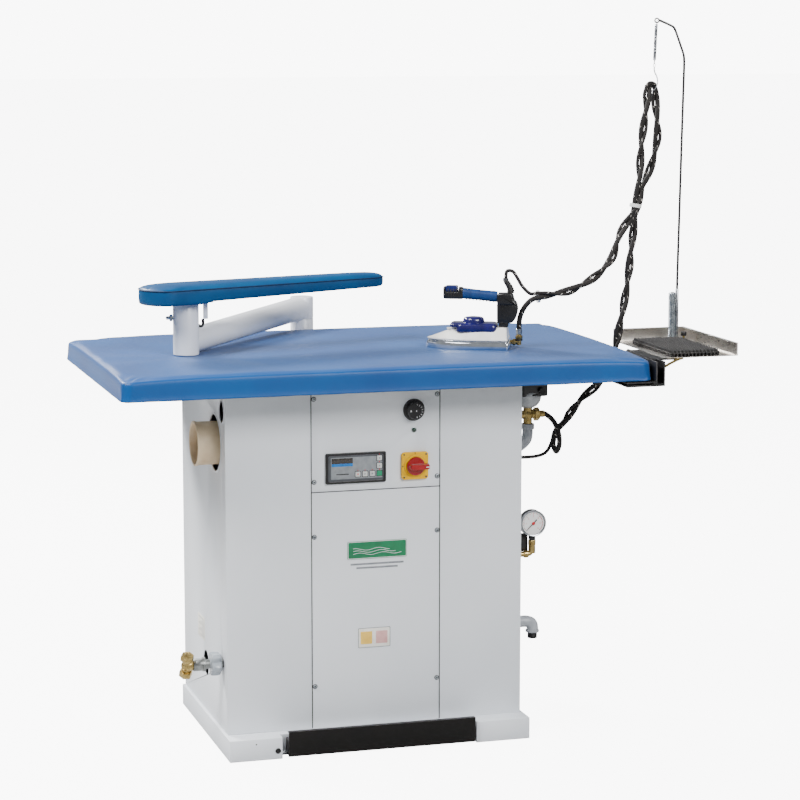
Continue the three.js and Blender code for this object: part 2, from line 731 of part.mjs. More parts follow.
// ---- iron ---------------------------------------------------------------------------------------
function soleOutline(inset) {
  const { length, half } = IRON;
  const shape = new THREE.Shape();
  const w = half - inset;
  shape.moveTo(inset + 6, -w);
  shape.lineTo(length * 0.42, -w);
  shape.quadraticCurveTo(length * 0.82, -w * 0.82, length - inset, -3);
  shape.quadraticCurveTo(length - inset + 2, 0, length - inset, 3);
  shape.quadraticCurveTo(length * 0.82, w * 0.82, length * 0.42, w);
  shape.lineTo(inset + 6, w);
  shape.quadraticCurveTo(inset, w, inset, w - 6);
  shape.lineTo(inset, 6 - w);
  shape.quadraticCurveTo(inset, -w, inset + 6, -w);
  return shape;
}

function makeIron() {
  const iron = new THREE.Group();
  iron.position.set(IRON.x, IRON.y, TABLE.top + GAP);
  iron.rotation.z = (IRON.heading * Math.PI) / 180;
  machine.add(iron);

  piece("soleplate", raised(soleOutline(0), 0, 21, 1.5, 6, 1), POLISHED_ALUMINIUM, iron);
  const body = tapered(soleOutline(3), 21 + GAP, 50, [0.8, 0.74], 12);
  const capSeat = block([28, -31.5, 41], [127, 31.5, 80]);
  piece("iron_shell", cut(body, capSeat), IVORY_ENAMEL, iron);
  const capBody = raised(roundedRectangle(31, -31, 124, 31, 8), 41 + GAP, 56, 2, 2, 1);
  const capLip = raised(roundedRectangle(34, -27, 141, 27, 10), 51, 60, 2.5, 2, 1);
  const dome = new THREE.SphereGeometry(1, 12, 8).scale(25, 22, 15).translate(86, 0, 59);
  piece("iron_cap", join(capBody, capLip, dome), PURPLE_PLASTIC, iron);

  const side = outline([
    [30, 60 + GAP],
    [30, 131],
    [-5, 131],
    [-8, 120],
    [-16, 108],
    [-18, 96],
    [-14, 74],
    [-6, 62],
    [2, 60 + GAP],
  ]);
  const column = carried(side, -19, 19, 4);
  const neck = block([4, -15, 50 + GAP], [26, 15, 66]);
  piece("handle_column", join(column, neck), BLACK_PLASTIC, iron);
  const handleShape = outline([
    [30 + GAP, 109],
    [113, 117],
    [155, 116],
    [158, 122],
    [157, 142],
    [153, 146],
    [113, 142],
    [30 + GAP, 134],
  ]);
  const bar = carried(handleShape, -14, 14, 5);
  const buttonWell = block([125, -9.5, 134], [152.5, 9.5, 160]);
  piece("handle_grip", cut(bar, buttonWell), BLUE_PLASTIC, iron);
  const button = raised(roundedRectangle(125.6, -9, 151.9, 9, 3), 137, 147.5, 1.5, 3);
  piece("steam_button", button, BLUE_PLASTIC, iron);

  const reliefLine = [
    [-1, 0, 131 + GAP],
    [-1, 0, 139],
    [4, 0, 150],
    [10, 0, 159],
    [10, 0, 166],
  ];
  const relief = tube(reliefLine, 6.5, 8);
  piece("iron_strain_relief", relief, BLACK_PLASTIC, iron);
  piece(
    "steam_inlet",
    join(
      round("x", [-22, -20, 12], 22 - GAP, 5.5, 5.5, 12),
      round("x", [-12, -20, 12], 7, 8, 8, 6),
      round("z", [-20, -20, 6], 30, 6, 6, 12),
      round("z", [-20, -20, 20], 8, 8.5, 8.5, 6),
    ),
    BRASS,
    iron,
  );
}

// ---- iron tray, mat and hose support ------------------------------------------------------------
function makeTray() {
  const { left, right, front, back, floor, rim, sheet } = TRAY;
  const base = raised(roundedRectangle(left, front, right, back, 5), floor, floor + sheet, 0, 3);
  const rimBack = block([left, back - sheet, floor], [right, back, floor + rim]);
  const rimBackLip = block([left, back - 9, floor + rim - sheet], [right, back, floor + rim]);
  const rimRight = block([right - sheet, front + 4, floor], [right, back, floor + rim]);
  const rimRightLip = block([right - 9, front + 14, floor + rim - sheet], [right, back, floor + rim]);
  piece("iron_tray", join(base, rimBack, rimBackLip, rimRight, rimRightLip), STAINLESS);

  const mat = { left: 690, right: 812, front: -336, back: -80 };
  const [matLow, matHigh] = [floor + sheet + GAP, floor + 17];
  const matEdge = roundedRectangle(mat.left, mat.front, mat.right, mat.back, 4);
  const plate = raised(matEdge, matHigh - 4, matHigh, 0, 3);
  const feet = [0, 1, 2].flatMap((i) =>
    [0, 1, 2].map((j) => {
      const x = mat.left + 4 + ((mat.right - mat.left - 18) * i) / 2;
      const y = mat.front + 4 + ((mat.back - mat.front - 18) * j) / 2;
      return block([x, y, matLow], [x + 10, y + 10, matHigh - 2]);
    }),
  );
  piece("rest_mat", join(plate, ...feet), BLACK_PLASTIC);

  const upright = block([TABLE.right + GAP, -385, 842], [654, -150, 899.7]);
  const hollow = block([TABLE.right + 4, -400, 848], [651, -140, 910]);
  const flange = block([560, -385, 842], [640, -150, 853]);
  const flangeHollow = block([559, -400, 846], [626, -140, 850]);
  const ledge = block([640, -334, 895], [720, -170, 899.7]);
  const stayLine = [
    [652, -374, 882],
    [672, -360, 888],
    [700, -343, 895],
    [715, -333, 897],
  ];
  const stay = tube(stayLine, 2.6, 8);
  const angle = cut(join(upright, flange), hollow, flangeHollow);
  piece("tray_bracket", join(angle, ledge, stay), BLACK_PAINT);

  piece("rod_socket", round("z", [ROD.x - 13, ROD.y, matLow], 120, 8.6), ZINC);
}

function makeSupport() {
  const { x, y, radius } = ROD;
  const base = TRAY.floor + TRAY.sheet + GAP;
  const rodLine = [
    [x, y, base + 2],
    [x, y, 1040],
    [x + 3, y, 1220],
    [x + 6, y, 1400],
    [x + 9, y, 1570],
    [x + 7, y, 1596],
    [x - 14, y, 1650],
    [x - 21, y, 1662],
    [x - 34, y, 1668],
    [x - 58, y, 1679],
  ];
  const rod = tube(rodLine, radius, 44);
  const sleeve = round("z", [x, y, base], 128, 4, 3.4, 12);
  const eye = new THREE.TorusGeometry(5, 1.8, 6, 16).rotateX(Math.PI / 2).translate(x - 63, y, 1677);
  piece("support_rod", join(rod, sleeve, eye), STEEL);
  const coil = turned(
    [
      [0, 0],
      [2, 1],
      [3.6, 3],
      [3.6, 86],
      [2, 88],
      [0, 89],
    ],
    12,
  );
  const hookLine = [
    [748, y, 1584],
    [747, y, 1560],
    [749, y - 4, 1552],
    [757, y - 17, 1543],
    [759, y - 19, 1522],
    [749, y - 9, 1509],
    [733, y + 7, 1509],
    [726, y + 14, 1517],
    [725, y + 15, 1525],
  ];
  const hook = tube(hookLine, 1.6, 26);
  piece("balance_spring", join(coil.translate(748, y, 1579), hook), STEEL);
}

// ---- steam hose and cable -----------------------------------------------------------------------
// The two run side by side, twisted together, from beside the cabinet up to the hook and down to
// the iron. This is the middle line of the twisted pair.
const PAIR_ROUTE = [
  [545, -6, 705],
  [574, -40, 763],
  [609, -60, 800],
  [638, -67, 836],
  [648, -76, 876],
  [650, -86, 916],
  [661, -90, 980],
  [679, -80, 1062],
  [693, -68, 1153],
  [711, -48, 1225],
  [727, -46, 1280],
  [748, -48, 1332],
  [762, -50, 1400],
  [759, -43, 1472],
  [757, -43, 1503],
  [752, -48, 1520],
  [740, -60, 1527],
  [728, -72, 1520],
  [723, -77, 1503],
  [721, -77, 1472],
  [712, -72, 1384],
  [709, -72, 1332],
  [706, -73, 1280],
  [698, -74, 1236],
  [684, -72, 1206],
  [658, -76, 1169],
  [634, -90, 1115],
  [599, -105, 1082],
  [554, -122, 1058],
  [512, -135, 1043],
  [465, -144, 1036],
  [424, -148, 1034],
];
const HOSE_START = [
  [487.4, 0, 727],
  [498, 0, 726.6],
  [518, -7, 708],
  [528, -15, 680],
  [528, -21, 652],
  [527, -2, 632],
  [527, 19, 648],
  [532, 12, 678],
];
const CABLE_START = [
  [379.4, -60, 634],
  [392, -60, 633.6],
  [408, -52, 632],
  [440, -26, 626],
  [482, 6, 622],
  [512, 28, 627],
  [528, 36, 648],
  [533, 26, 680],
];
const HOSE_END = [
  [409, -145, 1024],
  [395, -136, 1006],
  [387, -128, 982],
  [386, -125, 960],
  [386.1, -124, 946.8],
];
const CABLE_END = [
  [405, -148, 1040],
  [387, -145, 1057],
  [375, -141, 1078],
  [366, -137, 1092],
  [354.1, -132.1, 1094],
  [350.8, -130.7, 1086],
  [350.8, -130.7, 1076.7],
];

// The hose and the cable go round the pair's middle line on opposite sides.
function twisted(offset, side) {
  const line = new THREE.CatmullRomCurve3(spot(PAIR_ROUTE), false, "catmullrom", 0.5);
  const places = Math.round(TWIST_TURNS * 8);
  const across = new THREE.Vector3(0, 1, 0);
  const points = [];
  for (let i = 0; i <= places; i++) {
    const t = i / places;
    const along = line.getTangentAt(t);
    const first = across.clone().addScaledVector(along, -across.dot(along)).normalize();
    const second = along.clone().cross(first);
    const angle = Math.PI + side + 2 * Math.PI * TWIST_TURNS * t;
    const point = line.getPointAt(t);
    point.addScaledVector(first, offset * Math.cos(angle));
    point.addScaledVector(second, offset * Math.sin(angle));
    points.push(point.toArray());
  }
  return points;
}

function makeCords() {
  const hose = [...HOSE_START, ...twisted(HOSE.offset, 0), ...HOSE_END];
  const cable = [...CABLE_START, ...twisted(CABLE.offset, Math.PI), ...CABLE_END];
  piece("steam_hose", tube(hose, HOSE.radius, 80), BLACK_BRAID);
  piece("iron_cable", tube(cable, CABLE.radius, 80), BLACK_BRAID);
}

makePlinth();
makePedal();
makeCabinet();
makeChassis();
makeTable();
makeFan();
makeBoiler();
makeControls();
makeDrain();
makeSteamOutlet();
makeGauge();
makeSupply();
makeSleeveArm();
makeIron();
makeTray();
makeSupport();
makeCords();

export default machine;
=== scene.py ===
import math

import bmesh
import bpy
import numpy as np
from mathutils import Matrix, Vector


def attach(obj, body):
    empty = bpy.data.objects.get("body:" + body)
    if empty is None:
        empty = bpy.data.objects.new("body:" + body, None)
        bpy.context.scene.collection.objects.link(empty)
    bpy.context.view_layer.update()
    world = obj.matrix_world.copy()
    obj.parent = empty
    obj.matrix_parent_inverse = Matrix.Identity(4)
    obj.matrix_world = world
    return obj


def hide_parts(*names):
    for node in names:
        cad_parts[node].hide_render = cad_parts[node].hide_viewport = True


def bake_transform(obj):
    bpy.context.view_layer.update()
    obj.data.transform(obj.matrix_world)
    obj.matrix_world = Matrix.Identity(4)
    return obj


# A vacuum ironing table with its steam generator, hand iron, sleeve arm and hose support.
# Lengths in the shapes below are millimetres in the machine's own frame; pieces are made in metres.
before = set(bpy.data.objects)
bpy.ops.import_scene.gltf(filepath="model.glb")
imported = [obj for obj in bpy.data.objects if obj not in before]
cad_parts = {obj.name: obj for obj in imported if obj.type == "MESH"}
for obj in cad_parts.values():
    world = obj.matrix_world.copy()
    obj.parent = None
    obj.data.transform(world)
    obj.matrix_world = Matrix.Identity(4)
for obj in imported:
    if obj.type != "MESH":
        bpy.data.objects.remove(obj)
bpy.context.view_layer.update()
MM = 0.001


# ---- camera, light and floor --------------------------------------------------------------------
def set_camera():
    lens = bpy.data.cameras.new("camera")
    lens.lens = 115.775
    lens.sensor_width = 36.0
    lens.clip_end = 200.0
    camera = bpy.data.objects.new("camera", lens)
    camera.location = (-1.5981, -5.8568, 1.6980)
    camera.rotation_euler = (math.radians(81.415), 0.0, math.radians(-16.426))
    bpy.context.scene.collection.objects.link(camera)
    bpy.context.scene.camera = camera


def softbox(name, place, towards, size, power, colour=(1, 1, 1)):
    light = bpy.data.lights.new(name, "AREA")
    light.shape = "RECTANGLE"
    light.size, light.size_y = size
    light.energy = power
    light.color = colour
    lamp = bpy.data.objects.new(name, light)
    lamp.location = place
    aim = Vector(towards) - Vector(place)
    lamp.rotation_euler = aim.to_track_quat("-Z", "Y").to_euler()
    bpy.context.scene.collection.objects.link(lamp)


def set_light():
    softbox("left_softbox", (-3.0, -1.2, 4.6), (-0.3, 0.0, 0.7), (2.0, 2.0), 400)
    softbox("front_softbox", (2.0, -5.2, 3.9), (0.1, 0.0, 0.5), (2.8, 2.0), 360)
    softbox("back_softbox", (-1.9, 3.0, 3.4), (0.1, 0.0, 0.9), (1.0, 0.8), 380)
    world = bpy.data.worlds.new("studio")
    world.use_nodes = True
    nodes, links = world.node_tree.nodes, world.node_tree.links
    seen = nodes.new("ShaderNodeBackground")
    seen.inputs["Color"].default_value = (1, 1, 1, 1)
    seen.inputs["Strength"].default_value = 9.0
    lit = nodes["Background"]
    lit.inputs["Color"].default_value = (0.93, 0.96, 1.0, 1)
    lit.inputs["Strength"].default_value = 0.42
    ray = nodes.new("ShaderNodeLightPath")
    mix = nodes.new("ShaderNodeMixShader")
    links.new(ray.outputs["Is Camera Ray"], mix.inputs[0])
    links.new(lit.outputs[0], mix.inputs[1])
    links.new(seen.outputs[0], mix.inputs[2])
    links.new(mix.outputs[0], nodes["World Output"].inputs["Surface"])
    bpy.context.scene.world = world


def set_floor():
    mesh = bpy.data.meshes.new("floor")
    reach = 60.0
    corners = [(-reach, -reach, 0), (reach, -reach, 0), (reach, reach, 0), (-reach, reach, 0)]
    mesh.from_pydata(corners, [], [(0, 1, 2, 3)])
    floor = bpy.data.objects.new("floor", mesh)
    bpy.context.scene.collection.objects.link(floor)
    pale = bpy.data.materials.new("pale_floor")
    pale.use_nodes = True
    nodes, links = pale.node_tree.nodes, pale.node_tree.links
    cloth = nodes["Principled BSDF"]
    cloth.inputs["Base Color"].default_value = (0.4, 0.4, 0.4, 1)
    cloth.inputs["Roughness"].default_value = 0.9
    cloth.inputs["Specular IOR Level"].default_value = 0.0
    glow = nodes.new("ShaderNodeEmission")
    glow.inputs["Strength"].default_value = 8.2
    ray = nodes.new("ShaderNodeLightPath")
    mix = nodes.new("ShaderNodeMixShader")
    both = nodes.new("ShaderNodeAddShader")
    dark = nodes.new("ShaderNodeEmission")
    dark.inputs["Strength"].default_value = 0.0
    links.new(ray.outputs["Is Camera Ray"], mix.inputs[0])
    links.new(dark.outputs[0], mix.inputs[1])
    links.new(glow.outputs[0], mix.inputs[2])
    links.new(cloth.outputs[0], both.inputs[0])
    links.new(mix.outputs[0], both.inputs[1])
    links.new(both.outputs[0], nodes["Material Output"].inputs["Surface"])
    mesh.materials.append(pale)


# ---- shaping helpers ----------------------------------------------------------------------------
def taken(bm):
    bm.verts.index_update()
    shape = [v.co[:] for v in bm.verts], [[v.index for v in f.verts] for f in bm.faces]
    bm.free()
    return shape


def slab(low, high, edge=0.8, segments=2):
    """A block between two corners with rounded edges."""
    bm = bmesh.new()
    bmesh.ops.create_cube(bm, size=1.0)
    size = [b - a for a, b in zip(low, high)]
    middle = [(a + b) / 2 for a, b in zip(low, high)]
    for v in bm.verts:
        v.co = Vector([m + c * s for m, c, s in zip(middle, v.co, size)])
    if edge > 0:
        bmesh.ops.bevel(
            bm, geom=bm.edges[:], offset=min(edge, 0.45 * min(size)), segments=segments, affect="EDGES",
            profile=0.5
        )
    return taken(bm)


def plate(outline, low, high, edge=0.6, segments=2):
    """A flat outline between two heights, with both rims rounded."""
    bm = bmesh.new()
    base = bm.faces.new([bm.verts.new((x, y, low)) for x, y in outline])
    grown = bmesh.ops.extrude_face_region(bm, geom=[base])["geom"]
    for v in grown:
        if isinstance(v, bmesh.types.BMVert):
            v.co.z = high
    bmesh.ops.recalc_face_normals(bm, faces=bm.faces[:])
    if edge > 0:
        rims = [e for e in bm.edges if abs(e.verts[0].co.z - e.verts[1].co.z) < 1e-6]
        bmesh.ops.bevel(bm, geom=rims, offset=edge, segments=segments, affect="EDGES", profile=0.5)
    return taken(bm)


def rounded(x0, y0, x1, y1, r, steps=5):
    """A rectangle with round corners, as a list of points."""
    corners = [(x1 - r, y0 + r, -90), (x1 - r, y1 - r, 0), (x0 + r, y1 - r, 90), (x0 + r, y0 + r, 180)]
    return [
        (cx + r * math.cos(math.radians(a + 90 * i / steps)),
            cy + r * math.sin(math.radians(a + 90 * i / steps)))
        for cx, cy, a in corners
        for i in range(steps + 1)
    ]


def circle(radius, sides=32, x=0.0, y=0.0):
    turn = [2 * math.pi * i / sides for i in range(sides)]
    return [(x + radius * math.cos(a), y + radius * math.sin(a)) for a in turn]


def lofted(rings, capped=True, closed=False):
    """Rings of the same number of points joined one after another."""
    n = len(rings[0])
    points = [tuple(p) for ring in rings for p in ring]
    faces = []
    last = len(rings) if closed else len(rings) - 1
    for k in range(last):
        a, b = k * n, ((k + 1) % len(rings)) * n
        faces += [[a + i, a + (i + 1) % n, b + (i + 1) % n, b + i] for i in range(n)]
    if capped and not closed:
        faces += [list(range(n))[::-1], list(range((len(rings) - 1) * n, len(rings) * n))]
    return points, faces


def turned(profile, sides=40, closed=False):
    """A body turned about Z from (radius, height) pairs."""
    rings = [[(r * c, r * s, h) for c, s in circle(1.0, sides)] for r, h in profile]
    return lofted(rings, closed=closed)


def spline(points, count):
    """A uniform Catmull-Rom line through the points, count places an equal length apart."""
    p = np.array(points, float)
    ends = np.vstack([2 * p[0] - p[1], p, 2 * p[-1] - p[-2]])
    pieces = len(p) - 1
    t = np.linspace(0, pieces, 60 * pieces + 1)
    i = np.minimum(t.astype(int), pieces - 1)
    w = (t - i)[:, None]
    a, b, c, d = ends[i], ends[i + 1], ends[i + 2], ends[i + 3]
    line = 0.5 * (2 * b + (c - a) * w + (2 * a - 5 * b + 4 * c - d) * w**2 + (3 * b - a - 3 * c + d) * w**3)
    along = np.concatenate([[0], np.cumsum(np.linalg.norm(np.diff(line, axis=0), axis=1))])
    spots = np.linspace(0, along[-1], count)
    return np.stack([np.interp(spots, along, line[:, k]) for k in range(3)], 1)


def frames(line):
    """Directions along and across a line that turn as little as they can."""
    along = np.gradient(line, axis=0)
    along /= np.linalg.norm(along, axis=1)[:, None]
    start = np.array([0.0, 0.0, 1.0]) if abs(along[0][2]) < 0.9 else np.array([0.0, 1.0, 0.0])
    across = []
    side = start
    for t in along:
        side = side - t * (side @ t)
        side = side / np.linalg.norm(side)
        across.append(side)
    across = np.array(across)
    return along, across, np.cross(along, across)


def swept(line, radius, sides=14):
    """A round bar along a line; radius is one number or one for each place."""
    line = np.array(line, float)
    _, side, up = frames(line)
    radii = np.broadcast_to(np.array(radius, float), (len(line),))
    rings = [
        [tuple(p + r * (c * a + s * b)) for c, s in circle(1.0, sides)]
        for p, r, a, b in zip(line, radii, side, up)
    ]
    return lofted(rings)


def hexagon(across_flats, low, high):
    return plate(circle(across_flats / math.sqrt(3), 6), low, high, 0.8)


def at(x, y, z, facing="z", turn=0.0):
    """A place with local Z turned to face one of the row's directions."""
    turns = {
        "z": Matrix.Identity(4),
        "-z": Matrix.Rotation(math.pi, 4, "X"),
        "-y": Matrix.Rotation(math.pi / 2, 4, "X"),
        "y": Matrix.Rotation(-math.pi / 2, 4, "X"),
        "x": Matrix.Rotation(math.pi / 2, 4, "Y"),
        "-x": Matrix.Rotation(-math.pi / 2, 4, "Y"),
    }
    return Matrix.Translation((x, y, z)) @ turns[facing] @ Matrix.Rotation(math.radians(turn), 4, "Z")


HERE = Matrix.Identity(4)


def build(name, shapes, body, stands_for=(), place=HERE, angle=38, crease=True):
    """One object from a list of (shape, finish) or (shape, finish, place), riding on a body."""
    mesh = bpy.data.meshes.new(name)
    points, faces, owner, finishes = [], [], [], []
    for shape, finish, *where in shapes:
        spot = place @ (where[0] if where else HERE)
        first = len(points)
        points += [spot @ Vector(p) * MM for p in shape[0]]
        faces += [[first + i for i in f] for f in shape[1]]
        if finish not in finishes:
            finishes.append(finish)
        owner += [finishes.index(finish)] * len(shape[1])
    mesh.from_pydata(points, [], faces)
    mesh.polygons.foreach_set("material_index", owner)
    for finish in finishes:
        mesh.materials.append(FINISH[finish][0])
    mesh.validate()
    bm = bmesh.new()
    bm.from_mesh(mesh)
    bmesh.ops.recalc_face_normals(bm, faces=bm.faces[:])
    bm.to_mesh(mesh)
    bm.free()
    mesh.shade_smooth()
    if crease:
        mesh.set_sharp_from_angle(angle=math.radians(angle))
    piece = bpy.data.objects.new(name, mesh)
    bpy.context.scene.collection.objects.link(piece)
    if body:
        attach(piece, body)
    if stands_for:
        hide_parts(*([stands_for] if isinstance(stands_for, str) else stands_for))
    return piece


# ---- finishes -----------------------------------------------------------------------------------
def linear(r, g, b):
    curve = lambda v: v / 12.92 if v <= 0.04045 else ((v + 0.055) / 1.055) ** 2.4
    return (curve(r / 255), curve(g / 255), curve(b / 255), 1.0)


def new_group(name, inputs, outputs):
    tree = bpy.data.node_groups.new(name, "ShaderNodeTree")
    for label, kind, value in inputs:
        socket = tree.interface.new_socket(name=label, in_out="INPUT", socket_type=kind)
        if value is not None:
            socket.default_value = value
    for label, kind in outputs:
        tree.interface.new_socket(name=label, in_out="OUTPUT", socket_type=kind)
    return tree, tree.nodes.new("NodeGroupInput"), tree.nodes.new("NodeGroupOutput")


NUMBER, COLOUR, VECTOR = "NodeSocketFloat", "NodeSocketColor", "NodeSocketVector"


def maths(tree, operation, *values, clamp=False):
    node = tree.nodes.new("ShaderNodeMath")
    node.operation = operation
    node.use_clamp = clamp
    for socket, value in zip(node.inputs, values):
        if isinstance(value, (int, float)):
            socket.default_value = value
        else:
            tree.links.new(value, socket)
    return node.outputs[0]


def grain_group():
    """Fine unevenness of a surface, stretched along one direction if wanted."""
    tree, given, out = new_group(
        "surface_grain",
        [("Stretch", VECTOR, (1, 1, 1)), ("Scale", NUMBER, 300.0), ("Detail", NUMBER, 3.0)],
        [("Value", NUMBER)],
    )
    spot = tree.nodes.new("ShaderNodeTexCoord")
    mapping = tree.nodes.new("ShaderNodeMapping")
    noise = tree.nodes.new("ShaderNodeTexNoise")
    tree.links.new(spot.outputs["Object"], mapping.inputs["Vector"])
    tree.links.new(given.outputs["Stretch"], mapping.inputs["Scale"])
    tree.links.new(mapping.outputs[0], noise.inputs["Vector"])
    tree.links.new(given.outputs["Scale"], noise.inputs["Scale"])
    tree.links.new(given.outputs["Detail"], noise.inputs["Detail"])
    tree.links.new(noise.outputs["Fac"], out.inputs["Value"])
    return tree


def mottle_group():
    """A colour that drifts slowly to a second one over the surface."""
    tree, given, out = new_group(
        "colour_drift",
        [("Colour", COLOUR, None), ("Second Colour", COLOUR, None), ("Scale", NUMBER, 12.0),
            ("Amount", NUMBER, 1.0)],
        [("Colour", COLOUR)],
    )
    spot = tree.nodes.new("ShaderNodeTexCoord")
    noise = tree.nodes.new("ShaderNodeTexNoise")
    noise.inputs["Detail"].default_value = 5.0
    tree.links.new(spot.outputs["Object"], noise.inputs["Vector"])
    tree.links.new(given.outputs["Scale"], noise.inputs["Scale"])
    ramp = tree.nodes.new("ShaderNodeMapRange")
    ramp.inputs["From Min"].default_value = 0.35
    ramp.inputs["From Max"].default_value = 0.68
    tree.links.new(noise.outputs["Fac"], ramp.inputs["Value"])
    share = maths(tree, "MULTIPLY", ramp.outputs[0], given.outputs["Amount"], clamp=True)
    mix = tree.nodes.new("ShaderNodeMix")
    mix.data_type = "RGBA"
    tree.links.new(share, mix.inputs["Factor"])
    tree.links.new(given.outputs["Colour"], mix.inputs["A"])
    tree.links.new(given.outputs["Second Colour"], mix.inputs["B"])
    tree.links.new(mix.outputs["Result"], out.inputs["Colour"])
    return tree


def wear_group():
    """Where the edges of a piece are rubbed."""
    tree, given, out = new_group(
        "rubbed_edge", [("Width", NUMBER, 0.002), ("Scale", NUMBER, 90.0)], [("Mask", NUMBER)]
    )
    soft = tree.nodes.new("ShaderNodeBevel")
    soft.samples = 3
    tree.links.new(given.outputs["Width"], soft.inputs["Radius"])
    true = tree.nodes.new("ShaderNodeNewGeometry")
    dot = tree.nodes.new("ShaderNodeVectorMath")
    dot.operation = "DOT_PRODUCT"
    tree.links.new(soft.outputs[0], dot.inputs[0])
    tree.links.new(true.outputs["Normal"], dot.inputs[1])
    spot = tree.nodes.new("ShaderNodeTexCoord")
    noise = tree.nodes.new("ShaderNodeTexNoise")
    noise.inputs["Detail"].default_value = 4.0
    tree.links.new(spot.outputs["Object"], noise.inputs["Vector"])
    tree.links.new(given.outputs["Scale"], noise.inputs["Scale"])
    bend = maths(tree, "MULTIPLY", maths(tree, "SUBTRACT", 1.0, dot.outputs["Value"]), 6.0, clamp=True)
    patches = maths(tree, "MULTIPLY", maths(tree, "SUBTRACT", noise.outputs["Fac"], 0.42), 5.0, clamp=True)
    tree.links.new(maths(tree, "MULTIPLY", bend, patches, clamp=True), out.inputs["Mask"])
    return tree


def weave_group():
    """A plain weave: warp and weft threads that pass over and under each other."""
    tree, given, out = new_group("plain_weave", [("Thread", NUMBER, 0.0011)], [("Height", NUMBER)])
    spot = tree.nodes.new("ShaderNodeTexCoord")
    parts = tree.nodes.new("ShaderNodeSeparateXYZ")
    tree.links.new(spot.outputs["Object"], parts.inputs[0])
    turn = maths(tree, "DIVIDE", math.pi, given.outputs["Thread"])
    down = maths(tree, "ADD", parts.outputs["Y"], parts.outputs["Z"])
    warp = maths(tree, "ABSOLUTE", maths(tree, "SINE", maths(tree, "MULTIPLY", parts.outputs["X"], turn)))
    weft = maths(tree, "ABSOLUTE", maths(tree, "SINE", maths(tree, "MULTIPLY", down, turn)))
    tree.links.new(maths(tree, "MULTIPLY", maths(tree, "ADD", warp, weft), 0.5), out.inputs["Height"])
    return tree


def braid_group():
    """A braided sleeve with a pale tracer thread: X runs along the cord in metres, Y once round it."""
    tree, given, out = new_group(
        "braided_sleeve",
        [("Along", VECTOR, None), ("Pitch", NUMBER, 0.0042), ("Tracer", NUMBER, 0.034)],
        [("Height", NUMBER), ("Tracer", NUMBER)],
    )
    parts = tree.nodes.new("ShaderNodeSeparateXYZ")
    tree.links.new(given.outputs["Along"], parts.inputs[0])
    run = maths(tree, "DIVIDE", parts.outputs["X"], given.outputs["Pitch"])
    round_ = maths(tree, "MULTIPLY", parts.outputs["Y"], 8.0)
    one = maths(tree, "SINE", maths(tree, "MULTIPLY", maths(tree, "ADD", run, round_), 2 * math.pi))
    two = maths(tree, "SINE", maths(tree, "MULTIPLY", maths(tree, "SUBTRACT", run, round_), 2 * math.pi))
    height = maths(tree, "MAXIMUM", one, two)
    tree.links.new(maths(tree, "MULTIPLY_ADD", height, 0.5, 0.5), out.inputs["Height"])
    cell = maths(tree, "DIVIDE", parts.outputs["X"], given.outputs["Tracer"])
    lap = maths(tree, "FRACT", maths(tree, "ADD", cell, parts.outputs["Y"]))
    dash = maths(tree, "LESS_THAN", lap, 0.045)
    wrap = maths(tree, "FRACT", maths(tree, "ADD", maths(tree, "MULTIPLY", parts.outputs["Y"], 3.0), 0.2))
    shown = maths(tree, "LESS_THAN", wrap, 0.5)
    tree.links.new(maths(tree, "MULTIPLY", dash, shown), out.inputs["Tracer"])
    return tree


def spangle_group():
    """The crystal pattern of hot-dip zinc."""
    tree, given, out = new_group("zinc_spangle", [("Scale", NUMBER, 120.0)], [("Value", NUMBER)])
    spot = tree.nodes.new("ShaderNodeTexCoord")
    cells = tree.nodes.new("ShaderNodeTexVoronoi")
    tree.links.new(spot.outputs["Object"], cells.inputs["Vector"])
    tree.links.new(given.outputs["Scale"], cells.inputs["Scale"])
    parts = tree.nodes.new("ShaderNodeSeparateColor")
    tree.links.new(cells.outputs["Color"], parts.inputs[0])
    tree.links.new(parts.outputs[0], out.inputs["Value"])
    return tree


GRAIN, DRIFT, WEAR = grain_group(), mottle_group(), wear_group()
WEAVE, BRAID, SPANGLE = weave_group(), braid_group(), spangle_group()
FINISH = {}


def placed(tree, group, **values):
    node = tree.nodes.new("ShaderNodeGroup")
    node.node_tree = group
    for label, value in values.items():
        node.inputs[label.replace("_", " ")].default_value = value
    return node


